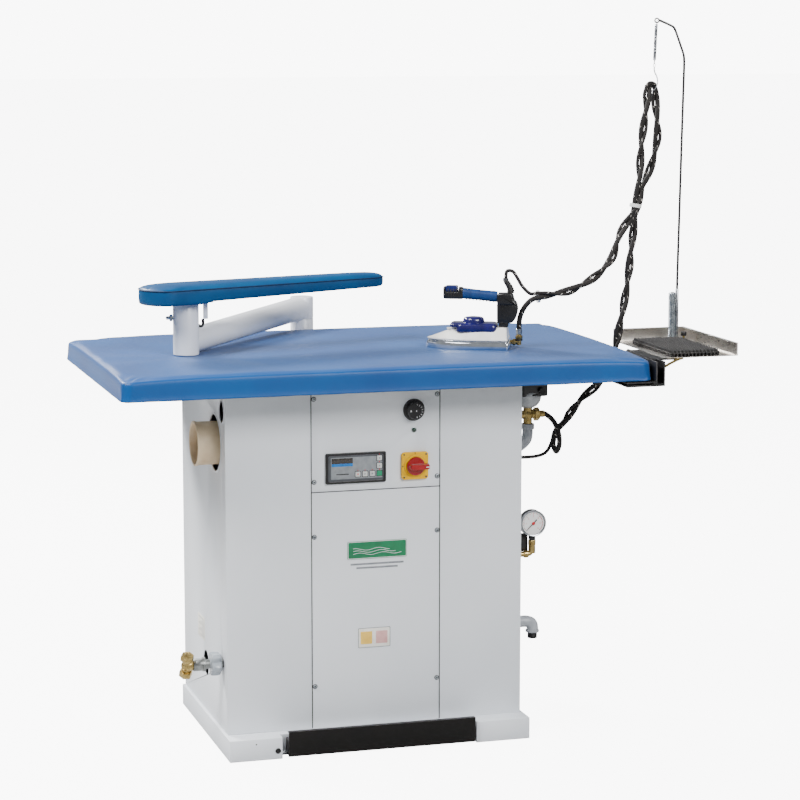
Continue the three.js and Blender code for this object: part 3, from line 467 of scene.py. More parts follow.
def finish(
    name, slot, colour, second, rough, metal=0.0, drift=12.0, amount=1.0, grain=500.0, stretch=(1, 1, 1),
    vary=0.08, bump=0.15, depth=0.0002, worn=None, worn_width=0.0015, coat=0.0, sheen=0.0, clear=0.0, ior=1.5,
    pattern=None, thread=0.0011, glow=0.0, speck=None,
):
    """A surface finish: drifting colour, uneven roughness and relief, with worn edges where they rub."""
    material = bpy.data.materials.new(name)
    material.use_nodes = True
    tree = material.node_tree
    shader = tree.nodes["Principled BSDF"]
    drifting = placed(tree, DRIFT, Colour=linear(*colour), Second_Colour=linear(*second), Scale=drift,
        Amount=amount)
    base = drifting.outputs["Colour"]
    fine = placed(tree, GRAIN, Stretch=stretch, Scale=grain)
    height = fine.outputs["Value"]

    def blended(mask, first, shade):
        mix = tree.nodes.new("ShaderNodeMix")
        mix.data_type = "RGBA"
        tree.links.new(mask, mix.inputs["Factor"])
        tree.links.new(first, mix.inputs["A"])
        mix.inputs["B"].default_value = linear(*shade)
        return mix.outputs["Result"]

    if pattern == "weave":
        woven = placed(tree, WEAVE, Thread=thread)
        height = maths(tree, "MULTIPLY_ADD", woven.outputs["Height"], 0.6,
            maths(tree, "MULTIPLY", height, 0.4))
    if pattern == "spangle":
        zinc = placed(tree, SPANGLE, Scale=140.0)
        height = maths(tree, "MULTIPLY_ADD", zinc.outputs["Value"], 0.5, maths(tree, "MULTIPLY", height, 0.5))
    if pattern == "braid":
        cloth = tree.nodes.new("ShaderNodeUVMap")
        cloth.uv_map = "along"
        braid = placed(tree, BRAID, Pitch=thread)
        tree.links.new(cloth.outputs[0], braid.inputs["Along"])
        height = braid.outputs["Height"]
        base = blended(braid.outputs["Tracer"], base, speck)
    if worn:
        rubbed = placed(tree, WEAR, Width=worn_width)
        base = blended(rubbed.outputs["Mask"], base, worn)
    tree.links.new(base, shader.inputs["Base Color"])
    spread = tree.nodes.new("ShaderNodeMapRange")
    spread.inputs["From Min"].default_value = 0.3
    spread.inputs["From Max"].default_value = 0.7
    spread.inputs["To Min"].default_value = max(0.02, rough - vary)
    spread.inputs["To Max"].default_value = min(1.0, rough + vary)
    tree.links.new(height, spread.inputs["Value"])
    tree.links.new(spread.outputs[0], shader.inputs["Roughness"])
    relief = tree.nodes.new("ShaderNodeBump")
    relief.inputs["Strength"].default_value = bump
    relief.inputs["Distance"].default_value = depth
    tree.links.new(height, relief.inputs["Height"])
    tree.links.new(relief.outputs[0], shader.inputs["Normal"])
    shader.inputs["Metallic"].default_value = metal
    shader.inputs["Coat Weight"].default_value = coat
    shader.inputs["Coat Roughness"].default_value = 0.12
    shader.inputs["Sheen Weight"].default_value = sheen
    shader.inputs["Sheen Roughness"].default_value = 0.4
    shader.inputs["Transmission Weight"].default_value = clear
    shader.inputs["IOR"].default_value = ior
    if glow:
        tree.links.new(base, shader.inputs["Emission Color"])
        shader.inputs["Emission Strength"].default_value = glow
    FINISH[name] = (material, slot)
    return material


def make_finishes():
    finish("white_panel", "white_paint", (226, 229, 233), (219, 223, 228), 0.42, drift=3.0, grain=900,
        vary=0.05,
           bump=0.05, coat=0.1, worn=(205, 207, 208), worn_width=0.0012)
    finish("white_tube", "white_paint", (233, 234, 237), (224, 226, 231), 0.33, drift=8.0, grain=700,
        vary=0.05,
           bump=0.05, coat=0.2)
    finish("table_cloth", "blue_cloth", (0, 72, 134), (0, 62, 122), 0.4, drift=5.0, grain=1400, vary=0.07,
           bump=0.3, depth=0.00025, sheen=0.16, ior=1.38, pattern="weave", thread=0.0009)
    finish("sleeve_cloth", "blue_cloth", (0, 70, 116), (0, 58, 102), 0.38, drift=14.0, grain=1400, vary=0.07,
           bump=0.3, depth=0.00025, sheen=0.0, ior=1.34, pattern="weave", thread=0.0009)
    finish("cloth_piping", "blue_cloth", (0, 36, 70), (0, 30, 60), 0.5, drift=40.0, grain=1500, bump=0.4,
           sheen=0.0, ior=1.34, pattern="weave", thread=0.0008)
    finish("galvanised_sheet", "galvanised", (158, 162, 164), (140, 144, 146), 0.42, 1.0, drift=30.0,
        grain=300,
           vary=0.14, bump=0.08, pattern="spangle", worn=(190, 192, 194))
    finish("galvanised_fitting", "galvanised", (150, 152, 150), (116, 118, 116), 0.4, 1.0, drift=90.0,
        grain=500,
           vary=0.12, bump=0.35, depth=0.0003, pattern="spangle", worn=(200, 202, 200))
    finish("bright_steel", "steel", (186, 189, 192), (160, 163, 166), 0.26, 1.0, drift=60.0, grain=1200,
           stretch=(1, 1, 0.1), vary=0.08, bump=0.06)
    finish("dark_rod", "steel", (104, 104, 102), (80, 80, 80), 0.32, 1.0, drift=60.0, grain=900,
           stretch=(1, 1, 0.1), vary=0.08, bump=0.05)
    finish("stainless_sheet", "stainless", (214, 209, 202), (196, 190, 182), 0.3, 1.0, drift=14.0, grain=900,
           stretch=(1, 0.05, 1), vary=0.06, bump=0.04, worn=(214, 210, 204))
    finish("polished_sole", "polished_aluminium", (214, 218, 222), (196, 200, 206), 0.1, 1.0, drift=50.0,
        grain=600,
           stretch=(0.1, 1, 1), vary=0.05, bump=0.03)
    finish("cast_vessel", "cast_iron", (78, 80, 84), (58, 60, 64), 0.6, 0.5, drift=40.0, grain=260, vary=0.12,
           bump=0.5, depth=0.0006, worn=(120, 120, 122))
    finish("brass", "brass", (190, 166, 108), (148, 124, 72), 0.3, 1.0, drift=120.0, grain=700, vary=0.12,
        bump=0.15,
           worn=(224, 196, 130))
    finish("copper", "copper", (188, 112, 76), (150, 84, 56), 0.32, 1.0, drift=90.0, grain=600, vary=0.12,
        bump=0.12)
    finish("duct_beige", "beige_plastic", (222, 200, 166), (212, 186, 150), 0.46, drift=30.0, grain=500,
        vary=0.07,
           bump=0.1, worn=(238, 226, 208))
    finish("black_moulding", "black_plastic", (16, 15, 16), (10, 9, 10), 0.34, drift=60.0, grain=900,
        vary=0.1,
           bump=0.25, worn=(58, 56, 56))
    finish("black_rubber", "black_plastic", (18, 16, 15), (11, 10, 9), 0.5, drift=70.0, grain=800, vary=0.1,
           bump=0.35, worn=(66, 60, 56))
    # A near-black finish laid in screw recesses, hole mouths, a slot and the duct's inside: painted shade
    # where those hollows are dark.
    finish("dark_void", "black_plastic", (12, 12, 13), (8, 8, 9), 0.8, drift=60.0, grain=400, bump=0.1)
    finish("grey_pipe", "grey_plastic", (176, 180, 184), (150, 154, 160), 0.36, drift=50.0, grain=600,
        vary=0.1,
           bump=0.1)
    finish("bonnet_grey", "grey_plastic", (196, 199, 201), (168, 171, 173), 0.32, 0.2, drift=70.0, grain=500,
           vary=0.1, bump=0.12, worn=(226, 226, 226))
    finish("smoked_knob", "clear_plastic", (196, 203, 210), (176, 184, 192), 0.16, drift=40.0, grain=500,
        vary=0.05,
           bump=0.06, clear=0.45, coat=0.3, ior=1.45)
    finish("switch_yellow", "yellow_plastic", (232, 180, 0), (224, 168, 0), 0.34, drift=50.0, grain=700,
        vary=0.06,
           bump=0.08, ior=1.3)
    finish("switch_red", "red_plastic", (158, 0, 4), (140, 0, 3), 0.3, drift=60.0, grain=700, vary=0.06,
        bump=0.08,
           coat=0.2)
    finish("needle_black", "red_plastic", (26, 24, 24), (18, 16, 16), 0.4, drift=60.0, grain=700, bump=0.05)
    finish("lens_green", "green_lens", (2, 62, 36), (1, 46, 26), 0.12, drift=120.0, grain=900, vary=0.04,
        bump=0.05,
           coat=0.5)
    finish("grip_blue", "blue_plastic", (6, 52, 106), (2, 40, 88), 0.42, drift=60.0, grain=900, vary=0.08,
        bump=0.3,
           worn=(50, 108, 168))
    finish("button_blue", "blue_plastic", (8, 24, 88), (4, 16, 70), 0.3, drift=80.0, grain=900, vary=0.06,
           bump=0.1, coat=0.2)
    finish("cap_purple", "purple_plastic", (16, 10, 84), (10, 6, 62), 0.24, drift=40.0, grain=600, vary=0.05,
           bump=0.06, coat=0.45)
    finish("shell_ivory", "ivory_enamel", (238, 236, 231), (226, 223, 216), 0.24, drift=40.0, grain=500,
        vary=0.05,
           bump=0.05, coat=0.4, worn=(210, 204, 196))
    finish("cord_braid", "black_braid", (24, 19, 16), (14, 11, 9), 0.72, drift=60.0, vary=0.1, bump=0.5,
        depth=0.0005,
           sheen=0.0, pattern="braid", thread=0.0042, speck=(216, 210, 200))
    finish("black_powder", "black_paint", (15, 14, 16), (10, 9, 10), 0.38, drift=30.0, grain=1200, vary=0.1,
        bump=0.3,
           worn=(92, 86, 82), worn_width=0.002)
    finish("pedal_coat", "black_paint", (13, 9, 7), (8, 6, 5), 0.34, drift=14.0, grain=900, vary=0.12,
        bump=0.2, ior=1.35, worn=(96, 88, 82), worn_width=0.0015)
    finish("zinc_plate", "zinc", (184, 190, 194), (150, 157, 162), 0.28, 1.0, drift=90.0, grain=700,
        vary=0.1, bump=0.1)
    finish("key_cap", "key_plastic", (206, 207, 204), (194, 195, 192), 0.4, drift=90.0, grain=800,
        vary=0.06, bump=0.1)
    finish("key_green", "key_plastic", (22, 150, 104), (14, 132, 90), 0.36, drift=90.0, grain=800,
        vary=0.06, bump=0.1)
    finish("panel_grey", "black_plastic", (72, 75, 80), (64, 67, 71), 0.44, drift=60.0, grain=900, vary=0.06,
           bump=0.08)
    finish("display_dark", "black_plastic", (40, 34, 32), (32, 28, 26), 0.2, drift=120.0, grain=600,
        vary=0.05,
           bump=0.03, coat=0.5)
    finish("display_digit", "black_plastic", (84, 76, 68), (72, 66, 60), 0.24, drift=200.0, grain=600,
        bump=0.03)
    finish("display_blue", "blue_plastic", (22, 116, 190), (16, 100, 172), 0.3, drift=120.0, grain=600,
        bump=0.03)
    finish("seal_white", "white_paint", (240, 241, 242), (230, 232, 234), 0.5, drift=60.0, grain=600,
        bump=0.08)
    finish("print_white", "white_paint", (242, 243, 243), (232, 233, 233), 0.5, drift=80.0, grain=700,
        bump=0.03)
    finish("print_grey", "grey_plastic", (138, 142, 146), (122, 126, 130), 0.5, drift=80.0, grain=700,
        bump=0.03)
    finish("print_red", "red_plastic", (204, 40, 42), (184, 30, 34), 0.5, drift=80.0, grain=700, bump=0.03)
    finish("badge_green", "green_lens", (4, 118, 74), (2, 104, 64), 0.34, drift=40.0, grain=700, vary=0.05,
        bump=0.05,
           coat=0.2)
    finish("label_cream", "white_paint", (236, 234, 226), (222, 219, 208), 0.46, drift=60.0, grain=700,
        bump=0.05)
    finish("label_amber", "yellow_plastic", (238, 196, 92), (226, 182, 76), 0.46, drift=60.0, grain=700,
        bump=0.05)
    finish("label_rose", "red_plastic", (214, 168, 164), (202, 152, 148), 0.46, drift=60.0, grain=700,
        bump=0.05)
    finish("dial_white", "white_paint", (240, 240, 238), (230, 230, 228), 0.4, drift=60.0, grain=700,
        bump=0.03)
    finish("tie_white", "white_paint", (236, 236, 232), (220, 220, 216), 0.4, drift=60.0, grain=700, bump=0.1)


def dress(node, name):
    """A CAD part that keeps its shape takes a finish."""
    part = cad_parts[node]
    if not part.material_slots:
        part.data.materials.append(FINISH[name][0])
    for place in part.material_slots:
        place.material = FINISH[name][0]


def softened(node, name, width=0.5, body="base", limit=48, segments=2):
    """A CAD sheet or casting whose sharp edges are broken as folding and casting leave them."""
    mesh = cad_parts[node].data.copy()
    mesh.name = node + "_skin"
    bm = bmesh.new()
    bm.from_mesh(mesh)
    bmesh.ops.remove_doubles(bm, verts=bm.verts[:], dist=2e-6)
    bmesh.ops.dissolve_limit(bm, angle_limit=math.radians(1.5), verts=bm.verts[:], edges=bm.edges[:])
    sharp = [e for e in bm.edges if len(e.link_faces) == 2 and e.calc_face_angle(0.0) > math.radians(limit)]
    bmesh.ops.bevel(
        bm, geom=sharp, offset=width * MM, segments=segments, affect="EDGES", profile=0.5, clamp_overlap=True
    )
    bmesh.ops.recalc_face_normals(bm, faces=bm.faces[:])
    bm.to_mesh(mesh)
    bm.free()
    mesh.materials.clear()
    mesh.materials.append(FINISH[name][0])
    for face in mesh.polygons:
        face.material_index = 0
    mesh.shade_smooth()
    mesh.set_sharp_from_angle(angle=math.radians(34))
    piece = bpy.data.objects.new(node + "_skin", mesh)
    bpy.context.scene.collection.objects.link(piece)
    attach(piece, body)
    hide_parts(node)
    return piece


def lettered(text, size, height=0.2):
    """Plain digits as a thin shape, centred on the place."""
    curve = bpy.data.curves.new("digits", "FONT")
    curve.body = text
    curve.size = size
    curve.align_x = "CENTER"
    curve.align_y = "CENTER"
    curve.extrude = height
    holder = bpy.data.objects.new("digits", curve)
    mesh = holder.to_mesh()
    shape = [tuple(v.co) for v in mesh.vertices], [list(p.vertices) for p in mesh.polygons]
    holder.to_mesh_clear()
    bpy.data.objects.remove(holder)
    bpy.data.curves.remove(curve)
    return shape


def screw_head(radius, height):
    dome = [(0.0, 0.0), (radius, 0.0), (radius, 0.3 * height), (0.86 * radius, 0.75 * height),
        (0.5 * radius, height)]
    return turned(dome + [(0.0, height)], 20)


def screw(where, radius=4.2, height=2.4, name="dark_rod"):
    """A cross-head screw with its recess, as shapes for a larger piece."""
    long, short = 0.56 * radius, 0.13 * radius
    top = height + 0.05
    return [
        (screw_head(radius, height), name, where),
        # The cross recess is two flat near-black bars on the head: painted shade.
        (slab((-long, -short, height - 0.5), (long, short, top), 0), "dark_void", where),
        (slab((-short, -long, height - 0.5), (short, long, top), 0), "dark_void", where),
    ]


def face_ring(w, h, r, band, low, high, edge=0.8):
    """A rectangular frame with round corners and softened edges."""
    outside = lambda inset, z: [(x, y, z) for x,
        y in rounded(-w + inset, -h + inset, w - inset, h - inset, r)]
    steps = [(0, low), (0, high - edge), (0.3 * edge, high - 0.3 * edge), (edge, high), (band - edge, high)]
    steps += [(band - 0.3 * edge, high - 0.3 * edge), (band, high - edge), (band, low)]
    return lofted([outside(i, z) for i, z in steps], closed=True)


# ---- cabinet ------------------------------------------------------------------------------------
# Outside faces of the painted cabinet and the upper face of the tray's floor.
FRONT_SKIN, BACK_SKIN = -240.3, 240.3
LEFT_SKIN, RIGHT_SKIN = -355.2, 355.2
TRAY_FLOOR = 901.9
TABLE = {"left": -619, "right": 631, "half": 385, "under": 854, "top": 910, "corner": 26}
SHEETS = ["left_cover", "right_cover", "rear_cover", "control_panel", "service_panel"]


def make_cabinet():
    for node in SHEETS:
        softened(node, "white_panel", 0.55)
    softened("plinth", "white_panel", 1.4)
    for node in ["chassis_frame", "vacuum_tray", "perforated_plate", "fan_housing"]:
        dress(node, "galvanised_sheet")
    dress("fan_motor", "black_powder")
    dress("fan_impeller", "galvanised_fitting")
    dress("boiler_vessel", "cast_vessel")
    dress("heating_element", "copper")
    fixings = []
    washer = [(0, 0), (5.8, 0), (5.8, 0.6), (5.2, 1.0), (0, 1.0)]
    for z in (824.5, 632, 504, 151):
        for x in (-147.5, 147.5):
            fixings += screw(at(x, -241, z, "-y", 20 + 0.3 * z), 4.6, 2.2, "zinc_plate")
            fixings.append((turned(washer, 24), "black_rubber", at(x, -240.2, z, "-y")))
    fixings += screw(at(155, -292.2, 39, "-y", 12), 3.6, 1.8)
    fixings += screw(at(LEFT_SKIN, 226, 826, "-x", 30), 3.4, 1.8)
    fixings += screw(at(LEFT_SKIN, 226, 82, "-x", 75), 3.4, 1.8)
    fixings += screw(at(RIGHT_SKIN, 226, 826, "x", 30), 3.4, 1.8)
    fixings += screw(at(RIGHT_SKIN, 226, 82, "x", 10), 3.4, 1.8)
    for x in (-300, 0, 300):
        fixings += screw(at(x, BACK_SKIN, 826, "y", 20 + x), 3.4, 1.8)
        fixings += screw(at(x, BACK_SKIN, 80, "y", 50 + x), 3.4, 1.8)
    build("cabinet_screws", fixings, "base")
    seams = [(slab((x - 1.1, -240.5, 52), (x + 1.1, -239.9, 853), 0), "black_rubber") for x in (-154, 154)]
    seams.append((slab((-154, -240.5, 607), (154, -239.9, 609), 0), "black_rubber"))
    build("door_seals", seams, "base")
    grommet = [(4.4, 0), (6.6, 0), (6.6, 0.8), (5.6, 1.7), (4.4, 1.2)]
    # The grommet's hole and the small hole beside it are thin near-black discs: painted shade.
    hole = turned([(0, 0), (4.5, 0), (4.5, 0.5), (0, 0.5)], 24)
    build(
        "plinth_grommet",
        [(turned(grommet, 28, closed=True), "black_rubber", at(-249, -292.1, 20, "-y")),
         (hole, "dark_void", at(-249, -292.1, 20, "-y")),
         (turned([(0, 0), (1.7, 0), (1.7, 0.3), (0, 0.3)], 18), "dark_void", at(-300, -292.1, 39, "-y"))],
        "base",
    )


def make_pedal():
    skin = softened("pedal", "pedal_coat", 2.2, "pedal", segments=3)
    skin.data.name = "pedal_skin"
    dress("pedal_shaft", "bright_steel")


def make_badges():
    """The name plate without its name, the bars under it and the rating label on the left side."""
    middle = at(2.5, FRONT_SKIN, 467, "-y")
    plate_shapes = [
        (plate(rounded(-71.5, -21, 71.5, 21, 3), 0, 0.9, 0.3), "badge_green", middle),
        (face_ring(70.5, 20, 2.4, 1.1, 0.8, 1.15, 0.1), "print_white", middle),
    ]
    for k, low in enumerate((-9.0, -3.5, 2.0)):
        wave = [(x, low + 2.4 * math.sin(x / 9.0 + 0.6 * k), 0.95) for x in np.linspace(-58, 58 - 14 * k, 70)]
        plate_shapes.append((swept(wave, 0.42, 6), "print_white", middle))
    build("name_plate", plate_shapes, "base")
    bars = []
    for low, wide in ((434, 64), (425, 50)):
        bars.append((plate(rounded(-wide, -2.1, wide, 2.1, 0.6), 0, 0.25, 0.05), "print_grey",
                at(2.5, FRONT_SKIN, low, "-y")))
    build("name_plate_bars", bars, "base")
    notice = at(-4.8, FRONT_SKIN, 258.5, "-y")
    build(
        "notice_label",
        [(plate(rounded(-38.8, -23.5, 38.8, 23.5, 2), 0, 0.35, 0.1), "label_cream", notice),
         (face_ring(38.8, 23.5, 2, 1.3, 0.1, 0.6, 0.1), "print_grey", notice),
         (plate(rounded(-33, -15, -5, 15, 1.5), 0.3, 0.5, 0.05), "label_amber", notice),
         (plate(rounded(4, -15, 32, 15, 1.5), 0.3, 0.5, 0.05), "label_rose", notice)],
        "base",
    )
    rating = at(-355.3, 39.5, 244, "-x")
    lines = [(plate(rounded(-28, -38.5, 28, 38.5, 2), 0, 0.35, 0.1), "label_cream", rating)]
    for k in range(9):
        wide = 30 - 9 * ((k * 5) % 3)
        up = 21 - 5.2 * k
        bar = plate(rounded(up - 0.9, -33, up + 0.9, -33 + 2 * wide, 0.3), 0.3, 0.45, 0.04)
        lines.append((bar, "print_grey", rating))
    build("rating_label", lines, "base")


# ---- controls -----------------------------------------------------------------------------------
CONTROLLER = {"x": -49, "z": 661.5, "half_width": 72, "half_height": 36}
KEYS = [(7, 682.2), (7, 664.4), (7, 646.6), (-44.6, 646.6), (-27.4, 646.6), (-10.2, 646.6)]
SEGMENTS = {
    "top": (0, 1, True), "middle": (0, 0, True), "low": (0, -1, True), "left_up": (-1, 0.5, False),
    "right_up": (1, 0.5, False), "left_down": (-1, -0.5, False), "right_down": (1, -0.5, False),
}
EIGHT = list(SEGMENTS)


def segment_digit(x, y, wide, tall, drawn, place, name):
    """One seven-segment digit."""
    shapes = []
    for key in drawn:
        across, up, flat = SEGMENTS[key]
        cx, cy = x + across * wide / 2, y + up * tall / 2
        half = (wide / 2 - 0.35, 0.42) if flat else (0.42, tall / 4 - 0.35)
        bar = slab((cx - half[0], cy - half[1], 5.55), (cx + half[0], cy + half[1], 5.75), 0.05, 1)
        shapes.append((bar, name, place))
    return shapes


def make_controller():
    c = CONTROLLER
    middle = at(c["x"], -240, c["z"], "-y")
    w, h = c["half_width"], c["half_height"]
    shapes = [
        (face_ring(w, h, 4, 6.2, 0.3, 6.0, 1.2), "black_moulding", middle),
        (plate(rounded(-w + 6.1, -h + 6.1, w - 6.1, h - 6.1, 2), 0.4, 4.9, 0.2), "panel_grey", middle),
        (face_ring(w + 1.2, h + 1.2, 4.6, 1.4, 0.25, 1.6, 0.3), "seal_white", middle),
    ]
    build("controller_bezel", shapes, "base", "controller_case")
    window = [
        (plate(rounded(-58, 11.2, -7.6, 23.8, 0.8), 4.8, 5.5, 0.2), "display_dark", middle),
        (plate(rounded(-58, 4.6, -7.6, 11.0, 0.6), 4.8, 5.4, 0.15), "display_blue", middle),
        (plate(rounded(-47, -15, -17, -12.6, 0.6), 4.8, 5.1, 0.05), "display_dark", middle),
        (plate(rounded(-59.5, -25, 62.5, 25.5, 2.0), 4.75, 4.98, 0.05), "print_grey", middle),
    ]
    for k in range(5):
        drawn = EIGHT if k % 2 else [s for s in EIGHT if s not in ("left_down",)]
        window += segment_digit(-52.4 + 9.8 * k, 17.5, 4.4, 8.6, drawn, middle, "display_digit")
    for k, (x, z) in enumerate(KEYS):
        spot = at(x, -240, z, "-y")
        window.append((face_ring(7.2, 7.2, 1.6, 1.2, 4.8, 5.35, 0.25), "black_moulding", spot))
        dot = [(0, 4.9), (1.15, 4.9), (1.15, 5.3), (0.8, 5.8), (0, 6.0)]
        window.append((turned(dot, 14), "print_red", at(x, -240, z + 9.2, "-y")))
    build("controller_display", window, "base")
    for k, (x, z) in enumerate(KEYS):
        spot = at(x, -240, z, "-y")
        cap = "key_green" if k == 2 else "key_cap"
        mark = "print_red" if k == 3 else "print_grey"
        shapes = [(slab((-5.75, -5.75, 4.0), (5.75, 5.75, 6.2), 0.9, 3), cap, spot)]
        arrow = [(-2.6, -1.8), (2.6, -1.8), (0, 2.6)]
        turns = [90, 0, 45, 180, -90, 0]
        if k == 5:
            arrow = rounded(-2.3, -2.3, 2.3, 2.3, 0.3)
        if k != 2:
            shapes.append((plate(arrow, 6.15, 6.3, 0.02, 1), mark,
                    spot @ Matrix.Rotation(math.radians(turns[k]), 4, "Z")))
        build(f"key_{k + 1}_cap", shapes, f"key_{k + 1}", f"key_{k + 1}")


def make_switch():
    middle = at(92, -240, 660, "-y")
    rim = [(0, 5.5), (26.5, 5.5), (26.5, 9.2), (25.6, 10.6), (23.6, 11.2), (21.5, 11.0), (21, 9.4), (0, 9.4)]
    shapes = [
        (plate(rounded(-32, -32, 32, 32, 7), 0.3, 8.0, 1.4, 3), "switch_yellow", middle),
        (turned(rim, 56), "switch_yellow", middle),
        (slab((-31.4, -1.1, 7.9), (-28.2, 1.1, 8.2), 0.1), "black_moulding", middle),
        (slab((-1.1, 28.2, 7.9), (1.1, 31.4, 8.2), 0.1), "black_moulding", middle),
    ]
    for x in (-26.5, 26.5):
        for y in (-26.5, 26.5):
            shapes += screw(middle @ Matrix.Translation((x, y, 7.7)), 2.3, 1.0)
    build("switch_front", shapes, "base", "switch_plate")
    spindle = at(92, -257.4, 660, "-y")
    disc = [(0, -6), (20.4, -6), (21.5, -4.8), (21.5, -1.2), (20.2, 0.2), (17, 0.6), (0, 0.6)]
    lever = rounded(-18.5, -6.2, 30, 6.2, 5.6, 7)
    outer = [(x * s, y * s, z) for s,
        z in ((1.06, 0.2), (1.0, 2), (0.98, 13), (0.93, 15.6), (0.84, 16.8)) for x, y in lever]
    n = len(lever)
    build(
        "switch_turn_handle",
        [(turned(disc, 52), "switch_red", spindle),
         (lofted([outer[i * n:(i + 1) * n] for i in range(5)]), "switch_red", spindle),
         (slab((19, -0.9, 16.2), (28, 0.9, 16.95), 0.2), "print_white", spindle)],
        "switch_handle", "switch_handle",
    )


def make_thermostat():
    middle = at(91, -240, 790, "-y")
    skirt = [(0, 0.4), (25.6, 0.4), (26, 1.2), (25.4, 2.6), (20.2, 4.2), (0, 4.2)]
    grooves = [(19.0 + 0.55 * math.cos(30 * a), a) for a in np.linspace(0, 2 * math.pi, 240, endpoint=False)]
    crown = [
        [(r * k * math.cos(a), r * k * math.sin(a), z) for r, a in grooves]
        for k, z in ((1.06, 4.0), (1.06, 10), (1.04, 18), (1.02, 21), (0.97, 22))
    ]
    shapes = [
        (turned(skirt, 64), "black_moulding", middle),
        (lofted(crown), "black_moulding", middle),
        (turned([(0, 21.9), (1.5, 21.9), (1.5, 22.3), (0, 22.3)], 16), "print_white", middle),
        (slab((-14.5, -2.2, 21.8), (-11.5, 2.2, 22.3), 0.3), "print_white", middle),
    ]
    for k in range(8):
        turn = math.radians(84 - 24 * k)
        spot = middle @ Matrix.Translation((14.2 * math.cos(turn), 14.2 * math.sin(turn), 22.1))
        shapes.append((lettered(str(k + 1), 5.2), "print_white",
                spot @ Matrix.Rotation(turn - math.pi / 2, 4, "Z")))
    build("thermostat_dial", shapes, "thermostat_knob", "thermostat_knob")
    lamp = at(91, -240, 743, "-y")
    collar = [(0, 0.3), (6.6, 0.3), (6.6, 1.4), (6.0, 2.2), (5.1, 2.4), (4.6, 1.6), (0, 1.6)]
    dome = [(4.6, 1.5)] + [(4.6 * math.cos(a), 2.2 + 3.4 * math.sin(a)) for a in np.linspace(0, 1.5,
            8)] + [(0, 5.6), (0, 1.5)]
    build(
        "pilot_light",
        [(turned(collar, 32), "bright_steel", lamp), (turned(dome, 32), "lens_green", lamp)],
        "base", "pilot_lamp",
    )


# ---- left side ----------------------------------------------------------------------------------
def make_left_side():
    duct = at(-330.3, -132, 717, "-x")
    wall = [(46, 0), (50, 0), (50.2, 40), (50.4, 66), (51.6, 69), (52.4, 72), (51.8, 74.4), (49.6, 75),
        (47.4, 74), (46.4, 71), (46, 60)]
    # A near-black disc just inside the spigot mouth: painted shade of the duct's inside.
    inner = [(0, 2), (45.9, 2), (45.9, 2.6), (0, 2.6)]
    build(
        "exhaust_spigot",
        [(turned(wall, 64, closed=True), "duct_beige", duct), (turned(inner, 40), "dark_void", duct)],
        "base", "exhaust_duct",
    )
    lip = [(66.5, 0.1), (70, 0.1), (70, 1.0), (67.2, 1.3), (65.4, 0.9), (65.4, -1.6), (66.5, -1.6)]
    build("duct_hole_edging", [(turned(lip, 64, closed=True), "white_panel", at(LEFT_SKIN, -132, 717, "-x"))],
        "base")
    small = [(26.4, 0.1), (28.6, 0.1), (28.4, 1.1), (26.6, 1.3), (25.8, 0.6), (25.8, -1.6), (26.4, -1.6)]
    build("spare_hole_edging",
        [(turned(small, 48, closed=True), "white_panel", at(LEFT_SKIN, -207, 800, "-x"))], "base")
    pipe = at(-330, -190, 210, "-x")
    barrel = [(6.6, 0), (10.5, 0), (10.5, 66), (14.2, 66), (16.5, 66.6), (16.5, 72.4), (15.2, 73),
        (14.5, 73.4)]
    barrel += [(14.5, 93), (13.8, 94), (6.6, 94)]
    build("drain_barrel", [(turned(barrel, 44, closed=True), "galvanised_fitting", pipe)], "base",
        "drain_pipe")
    cock = at(-440, -190, 210) @ Matrix.Rotation(0.45, 4, "X")
    tee = [(6.5, -28), (9.6, -28), (10, -27.4), (10, 27.4), (9.6, 28), (6.5, 28)]
    boss = [(0, 0), (13, 0), (13, 13.4), (11.8, 15), (0, 15)]
    bulge = [(0, -12.5)] + [(12.6 * math.cos(a), 12.6 * math.sin(a)) for a in np.linspace(-1.4, 1.4,
            12)] + [(0, 12.5)]
    nut = lambda low, high: (hexagon(27, low, high), "brass", cock)
    build(
        "drain_cock_body",
        [(turned(tee, 40, closed=True), "brass", cock), (turned(bulge, 32), "brass", cock), nut(-30, -16),
            nut(16, 30),
         (turned(boss, 36), "brass", cock @ at(0, 0, 0, "x"))],
        "base", "drain_cock",
    )
    knob = at(-386, -190, 210, "x")
    lobes = []
    for a in np.linspace(0, 2 * math.pi, 160, endpoint=False):
        lobe = 21.5 + 7.2 * (0.5 + 0.5 * math.cos(5 * a)) ** 0.75
        lobes.append((lobe, a))
    rings = [
        [(r * k * math.cos(a), r * k * math.sin(a), z) for r, a in lobes]
        for k, z in ((0.86, 2.2), (0.95, 3.4), (1.0, 7), (1.0, 20), (0.95, 24.2), (0.84, 25.8))
    ]
    eye = [(0, 0), (11.2, 0), (11.2, 3.2), (0, 3.2)]
    build(
        "drain_handwheel",
        [(lofted(rings), "smoked_knob", knob), (turned(eye, 32), "smoked_knob", knob),
         (turned([(0, 25.6), (9, 25.6), (8.4, 27.4), (4, 27.8), (0, 27.8)], 32), "galvanised_fitting", knob)],
        "drain_knob", "drain_knob",
    )


